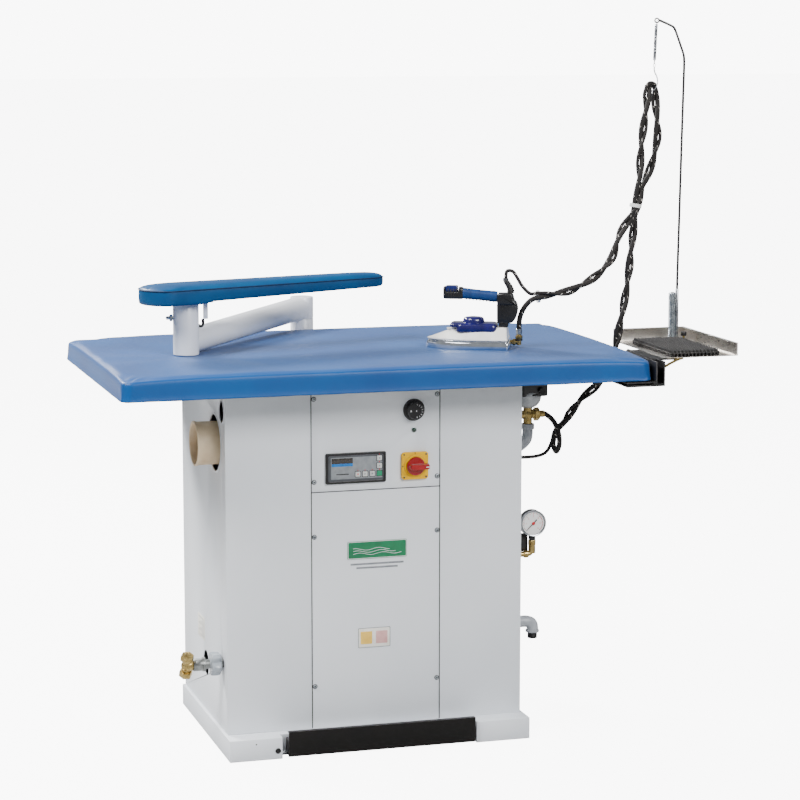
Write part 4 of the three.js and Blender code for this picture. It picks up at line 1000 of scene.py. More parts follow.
# ---- right side ---------------------------------------------------------------------------------
def make_steam_valve():
    x, y, z = 453, 0, 727
    run = [(0, -30), (6.4, -30), (10.4, -30), (10.5, -29), (10.5, 20), (0, 20)]
    leg = [(7, -22), (11, -22), (11, 18), (7, 18)]
    ball = [(0, -14)] + [(14 * math.cos(a), 14 * math.sin(a)) for a in np.linspace(-1.35, 1.35, 12)] + [(0,
            14)]
    spigot = [(4, 16), (6.5, 16), (6.5, 33.5), (5.8, 34.4), (4, 34.4)]
    ferrule = [(4.4, 31.5), (8.2, 31.5), (8.4, 33), (8.4, 41), (7.8, 42), (4.4, 42)]
    side = at(x, y, z, "x")
    up = at(x, y, z)
    bell = [(0, 17), (13, 17), (22, 22), (29, 30), (32.4, 40), (33.2, 48), (32.2, 54), (29, 58.5),
        (24, 60.5), (0, 61)]
    build(
        "steam_tee",
        [(turned(run, 36), "brass", side), (turned(leg, 36, closed=True), "brass", up),
            (turned(ball, 36), "brass", up),
         (hexagon(29, 16, 28), "brass", side), (turned(spigot, 32, closed=True), "brass", side),
         (turned([(0, 17.9), (12.5, 17.9), (12.5, 20), (0, 20)], 30), "brass", up),
         (turned(bell, 52), "bonnet_grey", up),
         # The bonnet's slot is a near-black slab: painted shade.
         (slab((24, -15, 49.5), (33.8, 15, 53), 1.2), "dark_void",
             up @ Matrix.Rotation(math.radians(-62), 4, "Z"))],
        "base", "valve_body",
    )
    build("steam_hose_ferrule", [(turned(ferrule, 32, closed=True), "brass", side)], "base")
    coil = [
        [(cx + 462, cy, z0) for cx, cy in rounded(-33 + e, -30 + e, 33 - e, 30 - e, 6)]
        for e, z0 in ((2.4, 774.3), (0.7, 775), (0, 777), (0, 829), (0.7, 831.4), (2.6, 832.3))
    ]
    lead = [(477, -22, 788), (477, -30, 788), (477, -40, 788)]
    seam = [
        [(cx + 462, cy, z0) for cx, cy in rounded(-33.6 + e, -30.6 + e, 33.6 - e, 30.6 - e, 6)]
        for e, z0 in ((0.6, 800.4), (0, 801), (0, 805), (0.6, 805.6))
    ]
    build(
        "solenoid_coil",
        [(lofted(coil), "black_moulding"), (lofted(seam), "black_moulding"),
            (swept(lead, 8, 24), "black_rubber"),
         (hexagon(15, 0, 4), "zinc_plate", at(457, 0, 832)),
         (turned([(0, 0), (9.6, 0), (9.6, 1.2), (0, 1.2)], 32), "zinc_plate", at(457, 0, 832))],
        "base", "valve_coil",
    )
    drop = spline([(453, 0, 697), (453, 0, 680), (449, 0, 664), (431, 0, 649), (403, 0, 641),
            (333, 0, 640)], 60)
    collar = [(11, 0), (15.4, 0), (16.5, 1.2), (16.5, 12.4), (15.4, 13.6), (11, 13.6)]
    build(
        "condensate_elbow",
        [(swept(drop, 13, 32), "grey_pipe"), (turned(collar, 40, closed=True), "grey_pipe", at(453, 0, 691)),
         (turned([(13, 0), (14.4, 0), (14.4, 3), (13, 3)], 36, closed=True), "grey_pipe",
             at(371, 0, 640.3, "x"))],
        "base", "condensate_pipe",
    )


def make_cable_gland():
    out = at(343, -60, 634, "x")
    body = [(4.2, 0), (6.5, 0), (6.5, 34), (5.9, 36), (4.2, 36)]
    sleeve = [(4.2, 20), (9, 20), (9, 22), (8.4, 34), (7.4, 35.6), (4.2, 35.6)]
    build(
        "cable_outlet",
        [(turned(body, 32, closed=True), "label_cream", out),
            (turned(sleeve, 32, closed=True), "label_cream", out),
         (hexagon(21, 12.3, 21.3), "label_cream", out)],
        "base", "cable_gland",
    )


def make_gauge():
    front = at(427, -100, 481, "-y")
    case = [(0, 0), (29.4, 0), (31, 1), (32, 3), (32, 21), (31.4, 23), (30, 24), (28.4, 23.6), (28, 22),
        (28, 20.8), (0, 20.8)]
    neck = at(427, -112, 0)
    shapes = [
        (turned(case, 64), "black_moulding", front),
        (face_ring(7, 7, 1.5, 6.9, 0, 15, 0.8), "black_moulding", neck @ Matrix.Translation((0, 0, 440))),
    ]
    shapes.append((slab((392, -106, 410), (419, -86, 452), 2.0, 3), "black_moulding"))
    build("gauge_body", shapes, "base", "gauge_case")
    bezel = [(28.4, 22.9), (30.2, 23.6), (31.6, 22.6), (31.9, 20.4), (32.3, 20.4), (32.3, 23.2),
        (30.4, 24.5), (28.2, 23.6)]
    dial = [(turned(bezel, 64, closed=True), "bright_steel", front),
        (turned([(0, 20.7), (27.8, 20.7), (27.8, 21.2), (0, 21.2)], 56), "dial_white", front)]
    for k in range(31):
        turn = math.radians(225 - 9 * k)
        long = 4.4 if k % 5 == 0 else 2.4
        spot = front @ Matrix.Rotation(turn, 4, "Z")
        dial.append((slab((25.6 - long, -0.5, 21.1), (25.6, 0.5, 21.35), 0),
                "print_red" if k % 2 else "needle_black", spot))
    for k in range(7):
        turn = math.radians(225 - 45 * k)
        spot = front @ Matrix.Translation((17.3 * math.cos(turn), 17.3 * math.sin(turn), 21.2))
        dial.append((lettered(str(k), 6.0, 0.12), "print_red", spot))
    arc = [(23.0 * math.cos(a), 23.0 * math.sin(a), 21.15) for a in np.linspace(math.radians(-45),
            math.radians(45), 30)]
    dial.append((swept(arc, 0.45, 6), "print_red", front))
    build("gauge_dial", dial, "base")
    needle = at(427, -122.6, 481, "-y", 180 + 45)
    hand = [(-12, -1.5), (-12, 1.5), (0, 1.3), (22, 0.6), (22, -0.6), (0, -1.3)]
    hub = [(0, -0.6), (3.8, -0.6), (3.8, 0.5), (3.0, 1.0), (0, 1.0)]
    build(
        "gauge_hand",
        [(plate(hand, -0.3, 0.2, 0.05, 1), "needle_black", needle), (turned(hub, 24), "print_red", needle)],
        "gauge_needle", "gauge_needle",
    )
    lead = spline([(335, -112, 405), (395, -112, 405), (417, -112, 405), (425, -112, 410), (427, -112, 420),
            (427, -112, 438)], 50)
    build(
        "gauge_siphon",
        [(swept(lead, 6.5, 24), "brass"), (hexagon(19, 0, 12), "brass", at(355.3, -112, 405, "x")),
         (turned([(6, 0), (8.6, 0), (8.6, 19), (6, 19)], 28, closed=True), "brass", at(427, -112, 407)),
         (hexagon(17.3, 0, 12), "brass", at(427, -112, 426.7)),
         (turned([(6, -5), (8.8, -5), (9.2, 0), (8.8, 5), (6, 5)], 28, closed=True), "brass",
             at(412, -112, 405, "x"))],
        "base", "gauge_elbow",
    )


def make_supply():
    bend = spline([(375, -100, 236), (400, -100, 236), (418, -100, 235.6), (430, -100, 231),
            (434, -100, 222), (434, -100, 208)], 50)
    collar = [(10.5, 0), (13, 0), (14, 1), (14, 23), (13, 24), (10.5, 24)]
    threads = [(12.0 if k % 2 else 11.2, 194 + 1.1 * k) for k in range(13)]
    end = [(9, 194)] + threads + [(9, 207.2)]
    bead = [(12, 0), (16, 0), (16.6, 1.2), (16.6, 4.4), (15.8, 5.4), (12, 5.4)]
    build(
        "supply_bend",
        [(turned([(8, 335), (10.5, 335), (10.5, 362), (8, 362)], 36, closed=True), "galvanised_fitting",
                at(0, -100, 236, "x")),
         (turned(collar, 40, closed=True), "grey_pipe", at(359, -100, 236, "x")),
         (swept(bend, 14.2, 32), "grey_pipe"),
         (turned(bead, 40, closed=True), "grey_pipe", at(378, -100, 236, "x")),
         (turned(bead, 40, closed=True), "grey_pipe", at(434, -100, 209)),
         (turned(end, 36, closed=True), "black_moulding", at(434, -100, 0)),
         # A thin near-black disc in the open end: painted shade of the bore.
         (turned([(0, 196), (9.2, 196), (9.2, 197), (0, 197)], 30), "dark_void", at(434, -100, 0))],
        "base", "supply_elbow",
    )


# ---- padded table -------------------------------------------------------------------------------
def outline_table(inset):
    """The table's outline with evenly spaced places along its sides."""
    t = TABLE
    r = max(t["corner"] - inset, 4)
    x0, x1, half = t["left"] + inset, t["right"] - inset, t["half"] - inset
    spots = []
    spots += [(x, -half) for x in np.linspace(x0 + r, x1 - r, 62)]
    spots += [(x1 - r + r * math.sin(a), -half + r - r * math.cos(a)) for a in np.linspace(0, math.pi / 2,
            8)[1:-1]]
    spots += [(x1, y) for y in np.linspace(-half + r, half - r, 38)]
    spots += [(x1 - r + r * math.cos(a), half - r + r * math.sin(a)) for a in np.linspace(0, math.pi / 2,
            8)[1:-1]]
    spots += [(x, half) for x in np.linspace(x1 - r, x0 + r, 62)]
    spots += [(x0 + r - r * math.sin(a), half - r + r * math.cos(a)) for a in np.linspace(0, math.pi / 2,
            8)[1:-1]]
    spots += [(x0, y) for y in np.linspace(half - r, -half + r, 38)]
    spots += [(x0 + r - r * math.cos(a), -half + r - r * math.sin(a)) for a in np.linspace(0, math.pi / 2,
            8)[1:-1]]
    return spots


def towards_spine(spots, share, low, high):
    """An outline drawn in towards the line y = 0 between two places."""
    drawn = []
    for x, y in spots:
        middle = min(max(x, low), high)
        drawn.append((middle + (x - middle) * share, y * share))
    return drawn


def swollen(piece, held, pressure, reach):
    """Air under the cloth lifts its free part, by no more than reach along X, Y and Z."""
    mesh, scene = piece.data, bpy.context.scene
    rest = np.array([v.co for v in mesh.vertices])
    group = piece.vertex_groups.new(name="held")
    group.add(held, 1.0, "REPLACE")
    cloth = piece.modifiers.new("cloth", "CLOTH")
    cloth.settings.quality = 5
    cloth.settings.mass = 0.25
    cloth.settings.tension_stiffness = 18
    cloth.settings.compression_stiffness = 18
    cloth.settings.bending_stiffness = 0.6
    cloth.settings.use_pressure = True
    cloth.settings.uniform_pressure_force = pressure
    cloth.settings.vertex_group_mass = "held"
    cloth.settings.effector_weights.gravity = 0.0
    cloth.point_cache.frame_start = 1
    cloth.point_cache.frame_end = 20
    for n in range(1, 21):
        scene.frame_set(n)
    shown = piece.evaluated_get(bpy.context.evaluated_depsgraph_get())
    moved = np.array([v.co for v in shown.data.vertices]) - rest
    piece.modifiers.remove(cloth)
    scene.frame_set(1)
    limit = np.array(reach) * MM
    settled = rest + limit * np.tanh(moved / limit)
    mesh.vertices.foreach_set("co", settled.astype(np.float32).ravel())
    mesh.update()


def subdivided(piece, levels=1):
    """Finer faces for a soft skin, made part of its mesh."""
    finer = piece.modifiers.new("finer", "SUBSURF")
    finer.levels = levels
    finer.render_levels = levels
    shown = piece.evaluated_get(bpy.context.evaluated_depsgraph_get())
    mesh = bpy.data.meshes.new_from_object(shown)
    mesh.name = piece.data.name
    piece.modifiers.remove(finer)
    piece.data = mesh
    mesh.shade_smooth()


def welded(piece, distance=0.0004):
    bm = bmesh.new()
    bm.from_mesh(piece.data)
    bmesh.ops.remove_doubles(bm, verts=bm.verts[:], dist=distance)
    bmesh.ops.recalc_face_normals(bm, faces=bm.faces[:])
    bm.to_mesh(piece.data)
    bm.free()


def make_table():
    """A taut cover over a foam pad, gathered under the table's rim."""
    top, under = TABLE["top"], TABLE["under"]
    half = TABLE["half"]
    low, high = TABLE["left"] + half, TABLE["right"] - half
    profile = [(46, under + 5), (30, under + 2.2), (16, under + 1.2), (8, under + 0.8), (3.4, under + 1.6),
        (1.2, under + 4)]
    profile += [(0.3, under + 9), (0, under + 18), (0, under + 30), (0.2, under + 40), (0.8, top - 8.5)]
    profile += [(2.0, top - 5.4), (4.2, top - 3.3), (8.0, top - 2.2)]

    def pulled(x, y):
        """How far the gathered cover draws its corners down."""
        gap = math.hypot((x1 - abs(x - middle)) / 150, (half - abs(y)) / 110)
        return 8.5 * math.exp(-1.6 * gap)

    def creased(x, y):
        """Shallow folds that fan out from the post, deepest at the left end."""
        fan = math.atan2(y + 60, x + 380)
        away = math.hypot(x + 380, y + 60)
        return 0.7 * math.sin(9 * fan + 0.4 * math.sin(x / 60)) * math.exp(-(((away - 210) / 130) ** 2))

    middle, x1 = (TABLE["left"] + TABLE["right"]) / 2, (TABLE["right"] - TABLE["left"]) / 2
    rings = []
    for inset, z in profile:
        tucked = 1.0 if inset > 6 and z < under + 6 else 0.25
        up = min(1.0, max(0.0, (z - under - 8) / 34))
        ring = []
        for i, (x, y) in enumerate(outline_table(inset)):
            wave = 0.7 * math.sin(0.9 * i) * math.sin(0.23 * i)
            ring.append((x, y, z + tucked * wave - up * pulled(x, y)))
        rings.append(ring)
    flat = outline_table(8)
    for share in [0.985, 0.965, 0.93, 0.88, 0.82, 0.75, 0.68, 0.61, 0.54, 0.47, 0.4, 0.33, 0.26, 0.19, 0.12,
        0.06, 0.0]:
        ring = towards_spine(flat, share, low, high)
        rings.append(
            [(x, y, top - 2.0 - pulled(x, y) + creased(x, y) + 0.4 * math.sin(x / 71) * math.cos(y / 57))
             for x, y in ring]
        )
    skin = lofted(rings, capped=False)
    cover = build("table_cover", [(skin, "table_cloth")], "base", "board_cover", crease=False)
    welded(cover)
    held = [v.index for v in cover.data.vertices if v.co.z < (under + 3) * MM]
    swollen(cover, held, 4.0, (6.0, 6.0, 1.9))
    subdivided(cover)
    build(
        "table_tray_rim",
        [(face_ring(560, 330, 20, 24, 856.5, 859.5, 0.6), "galvanised_sheet", Matrix.Translation((6, 0, 0)))],
        "base",
    )


# ---- sleeve arm ---------------------------------------------------------------------------------
SLEEVE = {"x": -400, "y": -39, "turn": 14.65, "nose": 112, "tip": 525, "wide": 66, "narrow": 38}


def outline_sleeve(inset):
    s = SLEEVE
    back, front = -s["nose"] + 0.85 * s["wide"], s["tip"] - s["narrow"]
    wide, narrow = s["wide"] - inset, s["narrow"] - inset
    length = 0.85 * s["wide"] - inset
    line = np.linspace(0, 1, 46)
    spots = [(back + (front - back) * t, -wide + (wide - narrow) * t) for t in line]
    spots += [(front + narrow * math.sin(a), -narrow * math.cos(a)) for a in np.linspace(0, math.pi,
            22)[1:-1]]
    spots += [(front + (back - front) * t, narrow + (wide - narrow) * t) for t in line]
    spots += [(back - length * math.sin(a), wide * math.cos(a)) for a in np.linspace(0, math.pi, 30)[1:-1]]
    return spots


def sleeve_under(u):
    """The height of the sleeve board's underside: thick at the post end, slim towards the tip."""
    if u < 26:
        return 1032.0
    slim = 1037.0 + 8.0 * (u - 30) / 495
    return 1032.0 + (slim - 1032.0) * min(1.0, (u - 26) / 12)


def make_sleeve_board():
    s = SLEEVE
    board = at(s["x"], s["y"], 0, "z", s["turn"])
    back, front = -s["nose"] + 0.85 * s["wide"], s["tip"] - s["narrow"]
    seam, top = 1067.0, 1079.0
    rings = []
    for inset, up in ((26, 0.6), (12, 0.2), (5, 0.5), (1.6, 2.2), (0.4, 5.5)):
        rings.append([(x, y, sleeve_under(x) + up) for x, y in outline_sleeve(inset)])
    for share, inset in ((0.35, 0), (0.6, 0), (0.82, 0.3), (0.95, 0.8), (1.0, 1.4)):
        rings.append(
            [(x, y, sleeve_under(x) + 5.5 + (seam - 5.5 - sleeve_under(x)) * share) for x,
                y in outline_sleeve(inset)]
        )
    rim = outline_sleeve(1.2)
    for share in (0.985, 0.95, 0.9, 0.83, 0.74, 0.63, 0.5, 0.36, 0.22, 0.1, 0.0):
        ring = towards_spine(rim, share, back, front)
        rise = (top - 2.2 - seam) * (1 - share**3.2) ** 0.55
        rings.append([(x, y, seam + rise) for x, y in ring])
    skin = build(
        "sleeve_cover", [(lofted(rings, capped=False), "sleeve_cloth")], "sleeve_board", "sleeve_board_cover",
        place=board, crease=False,
    )
    welded(skin)
    near_seam = lambda z: z < 1052 * MM or abs(z - seam * MM) < 0.6 * MM
    held = [v.index for v in skin.data.vertices if near_seam(v.co.z)]
    swollen(skin, held, 4.0, (5.0, 5.0, 2.4))
    subdivided(skin)
    bead = []
    around = outline_sleeve(0.4)
    outward = outline_sleeve(-1.0)
    for (x, y), (ox, oy) in zip(around, outward):
        normal = Vector((ox - x, oy - y, 0)).normalized()
        bead.append([tuple(Vector((x, y, seam)) + normal * 1.5 * c + Vector((0, 0, 1.5 * v))) for c,
                v in circle(1, 8)])
    build(
        "sleeve_piping", [(lofted(bead, closed=True), "cloth_piping")], "sleeve_board", place=board,
        crease=False
    )
    core = [(-84, -44), (470, -26), (470, 26), (-84, 44)]
    spindle = [(0, 973), (15, 973), (16, 975), (16, 1049), (0, 1049)]
    hook = [(44, 0, 992), (44, -1, 984), (43, -1, 978), (38, -1, 975), (33, -1, 978)]
    build(
        "sleeve_board_plate",
        [(plate(core, 1047, 1051, 0.8), "white_tube"), (turned(spindle, 40), "bright_steel"),
         (slab((38, -16, 993), (50, -12, 1049), 1.2), "white_tube"),
         (swept(spline(hook, 24), 3.4, 14), "black_rubber"),
         (slab((34, -15, 1030.5), (64, 15, 1032.5), 0.8), "white_tube")],
        "sleeve_board", "sleeve_board_frame", place=board,
    )


def make_sleeve_arm():
    px, py = -7, 420
    post = [(0, 806), (27.6, 806), (29, 807.4), (29, 929.4), (28.2, 930.6), (0, 930.6)]
    spigot = [(0, 926), (20, 926), (20, 976), (19, 978), (0, 978)]
    build(
        "sleeve_post_tube",
        [(turned(post, 56), "white_tube", at(px, py, 0)), (turned(spigot, 40), "bright_steel", at(px, py, 0)),
         (slab((px - 45, BACK_SKIN, 814), (px + 45, py, 853.7), 2), "white_tube"),
         (slab((px - 60, BACK_SKIN, 760), (px + 60, 246, 853.7), 1.2), "white_tube")]
        + screw(at(px - 48, 246, 784, "y", 20), 5, 3) + screw(at(px + 48, 246, 784, "y", 70), 5, 3),
        "base", "sleeve_post",
    )
    fx, fy = -400, -39
    line = spline([(px, py, 958), ((px + fx) / 2, (py + fy) / 2, 949), (fx, fy, 940)], 40)
    hub = [(20.6, 931.2), (28.4, 931.2), (29, 932), (29, 984), (28, 985.6), (26, 986), (0, 986), (0, 980),
        (20.6, 980)]
    head = [(0, 911), (28.6, 911), (30, 912.6), (30, 1029.6), (29.2, 1031), (17, 1031), (16.6, 1030),
        (16.6, 972), (0, 972)]
    stub = [(0, 0), (4.2, 0), (4.2, 16), (3.6, 17), (0, 17)]
    build(
        "sleeve_arm_tube",
        [(swept(line, 29.5, 40), "white_tube"), (turned(hub, 56), "white_tube", at(px, py, 0)),
         (turned(head, 56), "white_tube", at(fx, fy, 0)),
         (turned(stub, 24), "zinc_plate", at(fx - 29, fy, 998, "-x")),
         (hexagon(14, 3, 9), "zinc_plate", at(fx - 29, fy, 998, "-x")),
         (slab((-46.4, -8, -1.4), (-43.2, 8, 1.4), 1.0), "zinc_plate", at(fx, fy, 998))],
        "sleeve_arm", "sleeve_arm",
    )


# ---- iron ---------------------------------------------------------------------------------------
IRON = at(360, -134.6, 910.3, "z", 157)
SOLE = {"length": 197, "half": 49}


def bent(a, b, c, count=14):
    """Points along a curve from a to c that is drawn towards b, without its last place."""
    return [
        tuple((1 - t) ** 2 * a[k] + 2 * t * (1 - t) * b[k] + t * t * c[k] for k in (0, 1))
        for t in np.linspace(0, 1, count, endpoint=False)
    ]


def sole_outline(inset):
    length, w = SOLE["length"], SOLE["half"] - inset
    tip, wide = length - inset, 0.42 * length
    spots = [(x, -w) for x in np.linspace(inset + 6, wide, 14, endpoint=False)]
    spots += bent((wide, -w), (0.82 * length, -0.82 * w), (tip, -3), 26)
    spots += bent((tip, -3), (tip + 2, 0), (tip, 3), 6)
    spots += bent((tip, 3), (0.82 * length, 0.82 * w), (wide, w), 26)
    spots += [(x, w) for x in np.linspace(wide, inset + 6, 14, endpoint=False)]
    spots += bent((inset + 6, w), (inset, w), (inset, w - 6), 6)
    spots += [(inset, y) for y in np.linspace(w - 6, 6 - w, 12, endpoint=False)]
    spots += bent((inset, 6 - w), (inset, -w), (inset + 6, -w), 6)
    return spots


def sole_ring(inset, z, squeeze=(1.0, 1.0)):
    return [(12 + (x - 12) * squeeze[0], y * squeeze[1], z) for x, y in sole_outline(inset)]


def make_iron():
    body = [sole_ring(i, z) for i, z in ((1.2, 0), (0.3, 0.3), (0, 1.2), (0, 14.5), (0.6, 15.6), (3.4, 16.2))]
    body += [sole_ring(i, z) for i, z in ((3.8, 17.0), (3.8, 20.2), (4.6, 21))]
    rear = slab((-1.6, -40, 3.5), (0.4, 40, 19.5), 0.6)
    shapes = [(lofted(body), "polished_sole"), (rear, "polished_sole")]
    for y in (-30, 0, 30):
        shapes += screw(at(-1.6, y, 11.5, "-x", 25 * y), 2.6, 1.4)
    build("iron_sole", shapes, "iron", "soleplate", place=IRON)
    shell = [sole_ring(3.2, 21.3), sole_ring(2.6, 22.0), sole_ring(2.6, 24.4), sole_ring(3.0, 25.2)]
    for t in np.linspace(0.04, 1.0, 9):
        shell.append(sole_ring(3.4, 25.4 + 24.0 * t, (1 - 0.36 * t**0.9, 1 - 0.46 * t**1.1)))
    shell += [sole_ring(5.0, 50.2, (0.635, 0.53)), sole_ring(9.0, 50.6, (0.63, 0.52))]
    build(
        "iron_body_shell",
        [(lofted(shell), "shell_ivory"), (slab((118, -7, 44), (150, 7, 47.5), 1.2, 3), "shell_ivory")],
        "iron", "iron_shell", place=IRON,
    )

    def cap_ring(x0, x1, half, r, inset, z):
        return [(x, y, z) for x, y in rounded(x0 + inset, -half + inset, x1 - inset, half - inset, r, 8)]

    skirt = [cap_ring(29.5, 125.5, 33, 10, i, z) for i,
        z in ((0.4, 41.3), (0, 42), (0.3, 50), (1.0, 55), (2.6, 58.2), (6, 60))]
    wing = [cap_ring(33, 141, 28.5, 11, i, z) for i,
        z in ((2, 50.6), (0.5, 51.4), (0, 53), (0.2, 57), (1.2, 59), (4, 60.4))]
    lid = [(25.6, 57), (25.4, 64), (24.6, 68.5), (22.6, 71.6), (19.4, 73.2), (14, 74), (0, 74.3)]
    build(
        "iron_cap_cover",
        [(lofted(skirt), "cap_purple"), (lofted(wing), "cap_purple"),
         (turned([(0, 56)] + lid, 64), "cap_purple", at(86, 0, 0) @ Matrix.Diagonal((1, 0.92, 1, 1))),
         (turned([(25.7, 60), (26.6, 60.4), (26.6, 61.2), (25.7, 61.6)], 60, closed=True), "cap_purple",
             at(86, 0, 0)
          @ Matrix.Diagonal((1, 0.92, 1, 1)))]
        + screw(at(132.5, 0, 60.2), 3.2, 1.4),
        "iron", "iron_cap", place=IRON,
    )
    side = at(0, 0, 0, "-y")
    lower = [(30, 60.3), (30.4,
            104)] + [tuple(p[:2]) for p in spline([(-17, 104, 0), (-18.4, 92, 0), (-14.5, 74, 0),
                (-7, 63, 0), (2, 60.3, 0)], 16)]
    upper = [(30, 103), (30, 126),
        (27, 131)] + [tuple(p[:2]) for p in spline([(-4, 131.2, 0), (-7.6, 124, 0), (-9.6, 116, 0),
                (-15.6, 108, 0), (-17, 103, 0)], 14)]
    build(
        "iron_handle_column",
        [(plate(lower, -18, 18, 3.4, 4), "black_moulding", side),
            (plate(upper, -19, 19, 4.2, 4), "black_moulding", side),
         (slab((4, -15, 50.3), (26, 15, 66), 2.4, 3), "black_moulding"),
         (slab((-13.5, -19.4, 102.6), (29.5, 19.4, 104.0), 0.5), "black_moulding")]
        + screw(side @ Matrix.Translation((14, 84, 18)), 3.0, 1.2),
        "iron", "handle_column", place=IRON,
    )

    def grip_ring(x, middle, high, half, power=2.6):
        ring = []
        for c, s in circle(1.0, 36):
            ring.append((x, half * math.copysign(abs(c) ** (2 / power), c),
                    middle + high * math.copysign(abs(s) ** (2 / power), s)))
        return ring

    sleeve = []
    for t in np.linspace(0, 1, 15):
        waist = 1.0 - 0.07 * math.sin(math.pi * t)
        grow = 1.0 if 0 < t < 1 else 0.93
        sleeve.append(grip_ring(30.3 + 82.7 * t, 121.8 + 7.6 * t, 13.2 * waist * grow, 14.3 * waist * grow))
    nose = [grip_ring(x, m, h, w, 4.2) for x, m, h, w in (
        (111, 129.6, 12.6, 13.4), (113, 129.6, 14.2, 14.4), (121, 129.8, 14.6, 14.6),
        (122.5, 125.4, 9.8, 14.6),
        (140, 125.4, 10, 14.4), (152, 125.6, 10, 13.8), (153.5, 130.6, 15, 13.4), (156, 130.8, 14.6, 12.8),
        (158, 131, 12.2, 11))]
    grip = [(lofted(sleeve), "grip_blue"), (lofted(nose), "black_moulding")]
    for k in range(5):
        x = 119 + 6.4 * k
        for y in (-14.5, 13.5):
            grip.append((slab((x, y, 119), (x + 2.2, y + 1.0, 141), 0.4), "black_rubber"))
    for k in range(9):
        x = 38 + 8 * k
        m = 121.8 + 7.6 * (x - 30.3) / 82.7
        grip.append((slab((x, -9, m - 13.3), (x + 2.4, 9, m - 12.0), 0.4), "black_rubber"))
    build("iron_handle_grip", grip, "iron", "handle_grip", place=IRON)
    button = [cap_ring(124, 152.6, 12, 3.2, i, z) for i,
        z in ((0, 134.5), (0, 145), (0.5, 146.6), (1.8, 147.4), (5, 147.0))]
    build("iron_steam_button", [(lofted(button), "button_blue")], "steam_button", "steam_button", place=IRON)
    line = spline([(-1, 0, 131.3), (-1, 0, 139), (4, 0, 150), (10, 0, 159), (10, 0, 166)], 46)
    ribs = [8.6 - 2.9 * k / 45 + (0.55 if (k // 2) % 2 else -0.35) for k in range(46)]
    clip = [(4.4, 0), (6.0, 0), (6.0, 4.4), (4.4, 4.4)]
    build(
        "iron_cable_relief",
        [(swept(line, ribs, 28), "black_rubber"),
            (turned(clip, 28, closed=True), "zinc_plate", at(10, 0, 160.5)),
         (slab((13.5, -1.8, 158.8), (17.2, 1.8, 166.6), 0.5), "zinc_plate")],
        "iron", "iron_strain_relief", place=IRON,
    )
    inlet = [(0, 0), (5.5, 0), (5.5, 21.6), (0, 21.6)]
    riser = [(0, 5), (4.6, 5), (6, 6), (6, 36), (0, 36)]
    ring = [(5.4, 0), (8.8, 0.3), (9.2, 2), (8.8, 3.7), (5.4, 4)]
    ferrule = [(5.9, 0), (7.4, 0.4), (7.6, 12), (6.8, 13), (5.9, 13)]
    build(
        "iron_steam_elbow",
        [(turned(inlet, 28), "brass", at(-22, -20, 12, "x")),
            (hexagon(13.8, 0, 7), "brass", at(-12, -20, 12, "x")),
         (turned(riser, 28), "brass", at(-20, -20, 0)), (hexagon(14.8, 20, 28), "brass", at(-20, -20, 0)),
         (turned(ring, 32, closed=True), "black_rubber", at(-20, -20, 15.4)),
         (turned(ferrule, 32, closed=True), "zinc_plate", at(-20, -20, 31))],
        "iron", "steam_inlet", place=IRON,
    )


# ---- iron tray, mat and hose support ------------------------------------------------------------
def make_tray():
    softened("iron_tray", "stainless_sheet", 0.5)
    softened("tray_bracket", "black_powder", 0.8)
    stay = spline([(652, -376, 884), (672, -362, 890), (700, -345, 897), (715, -335, 899)], 24)
    build("tray_stay", [(swept(stay, 2.9, 14), "brass")], "base")
    left, right, front, back = 690, 812, -336, -80
    mat = [(plate(rounded(left, front, right, back, 4), 908.6, 910.4, 0.6), "black_rubber")]
    for i in range(13):
        for j in range(27):
            x, y = left + 5.5 + 9.25 * i, front + 7.5 + 9.25 * j
            pin = [[(x + dx * s, y + dy * s, z) for dx,
                    dy in ((-2.1, -2.1), (2.1, -2.1), (2.1, 2.1), (-2.1, 2.1))]
                   for s, z in ((1.0, 910.0), (0.9, 916.0), (0.66, 917.0))]
            mat.append((lofted(pin), "black_rubber"))
    for j in range(27):
        y = front + 5 + 9.25 * j
        mat.append((slab((left + 0.4, y, TRAY_FLOOR), (left + 4, y + 4, 912), 0.4, 1), "black_rubber"))
        mat.append((slab((right - 4, y, TRAY_FLOOR), (right - 0.4, y + 4, 912), 0.4, 1), "black_rubber"))
    for i in range(13):
        x = left + 4 + 9.25 * i
        mat.append((slab((x, front + 0.4, TRAY_FLOOR), (x + 4, front + 4, 912), 0.4, 1), "black_rubber"))
        mat.append((slab((x, back - 4, TRAY_FLOOR), (x + 4, back - 0.4, 912), 0.4, 1), "black_rubber"))
    build("rest_mat_pad", mat, "base", "rest_mat")
    ribs = [(0, TRAY_FLOOR), (7.0, TRAY_FLOOR), (9.6, 903), (9.6, 910), (8.2, 911)]
    for k in range(32):
        ribs += [(7.6, 911.4 + 3.4 * k), (8.6, 912.4 + 3.4 * k), (8.6, 913.6 + 3.4 * k)]
    ribs += [(7.6, 1020.4), (6.6, 1021.8), (0, 1021.8)]
    build("rod_socket_sleeve", [(turned(ribs, 32), "zinc_plate", at(802, -60, 0))], "base", "rod_socket")
    bolt = [(0, TRAY_FLOOR), (2.6, TRAY_FLOOR), (2.6, 916), (0, 916)]
    head = [(0, 915.5), (6.4, 915.5), (6.8, 917), (6.8, 923.6), (5.8, 925.2), (0, 925.2)]
    build(
        "rod_clamp_bolt",
        [(turned(bolt, 24), "brass", at(831, -68, 0)), (turned(head, 32), "black_moulding", at(831, -68, 0)),
         (turned([(0, TRAY_FLOOR), (6.2, TRAY_FLOOR), (6.2, 903.3), (0, 903.3)], 28), "zinc_plate",
             at(831, -68, 0))],
        "base",
    )


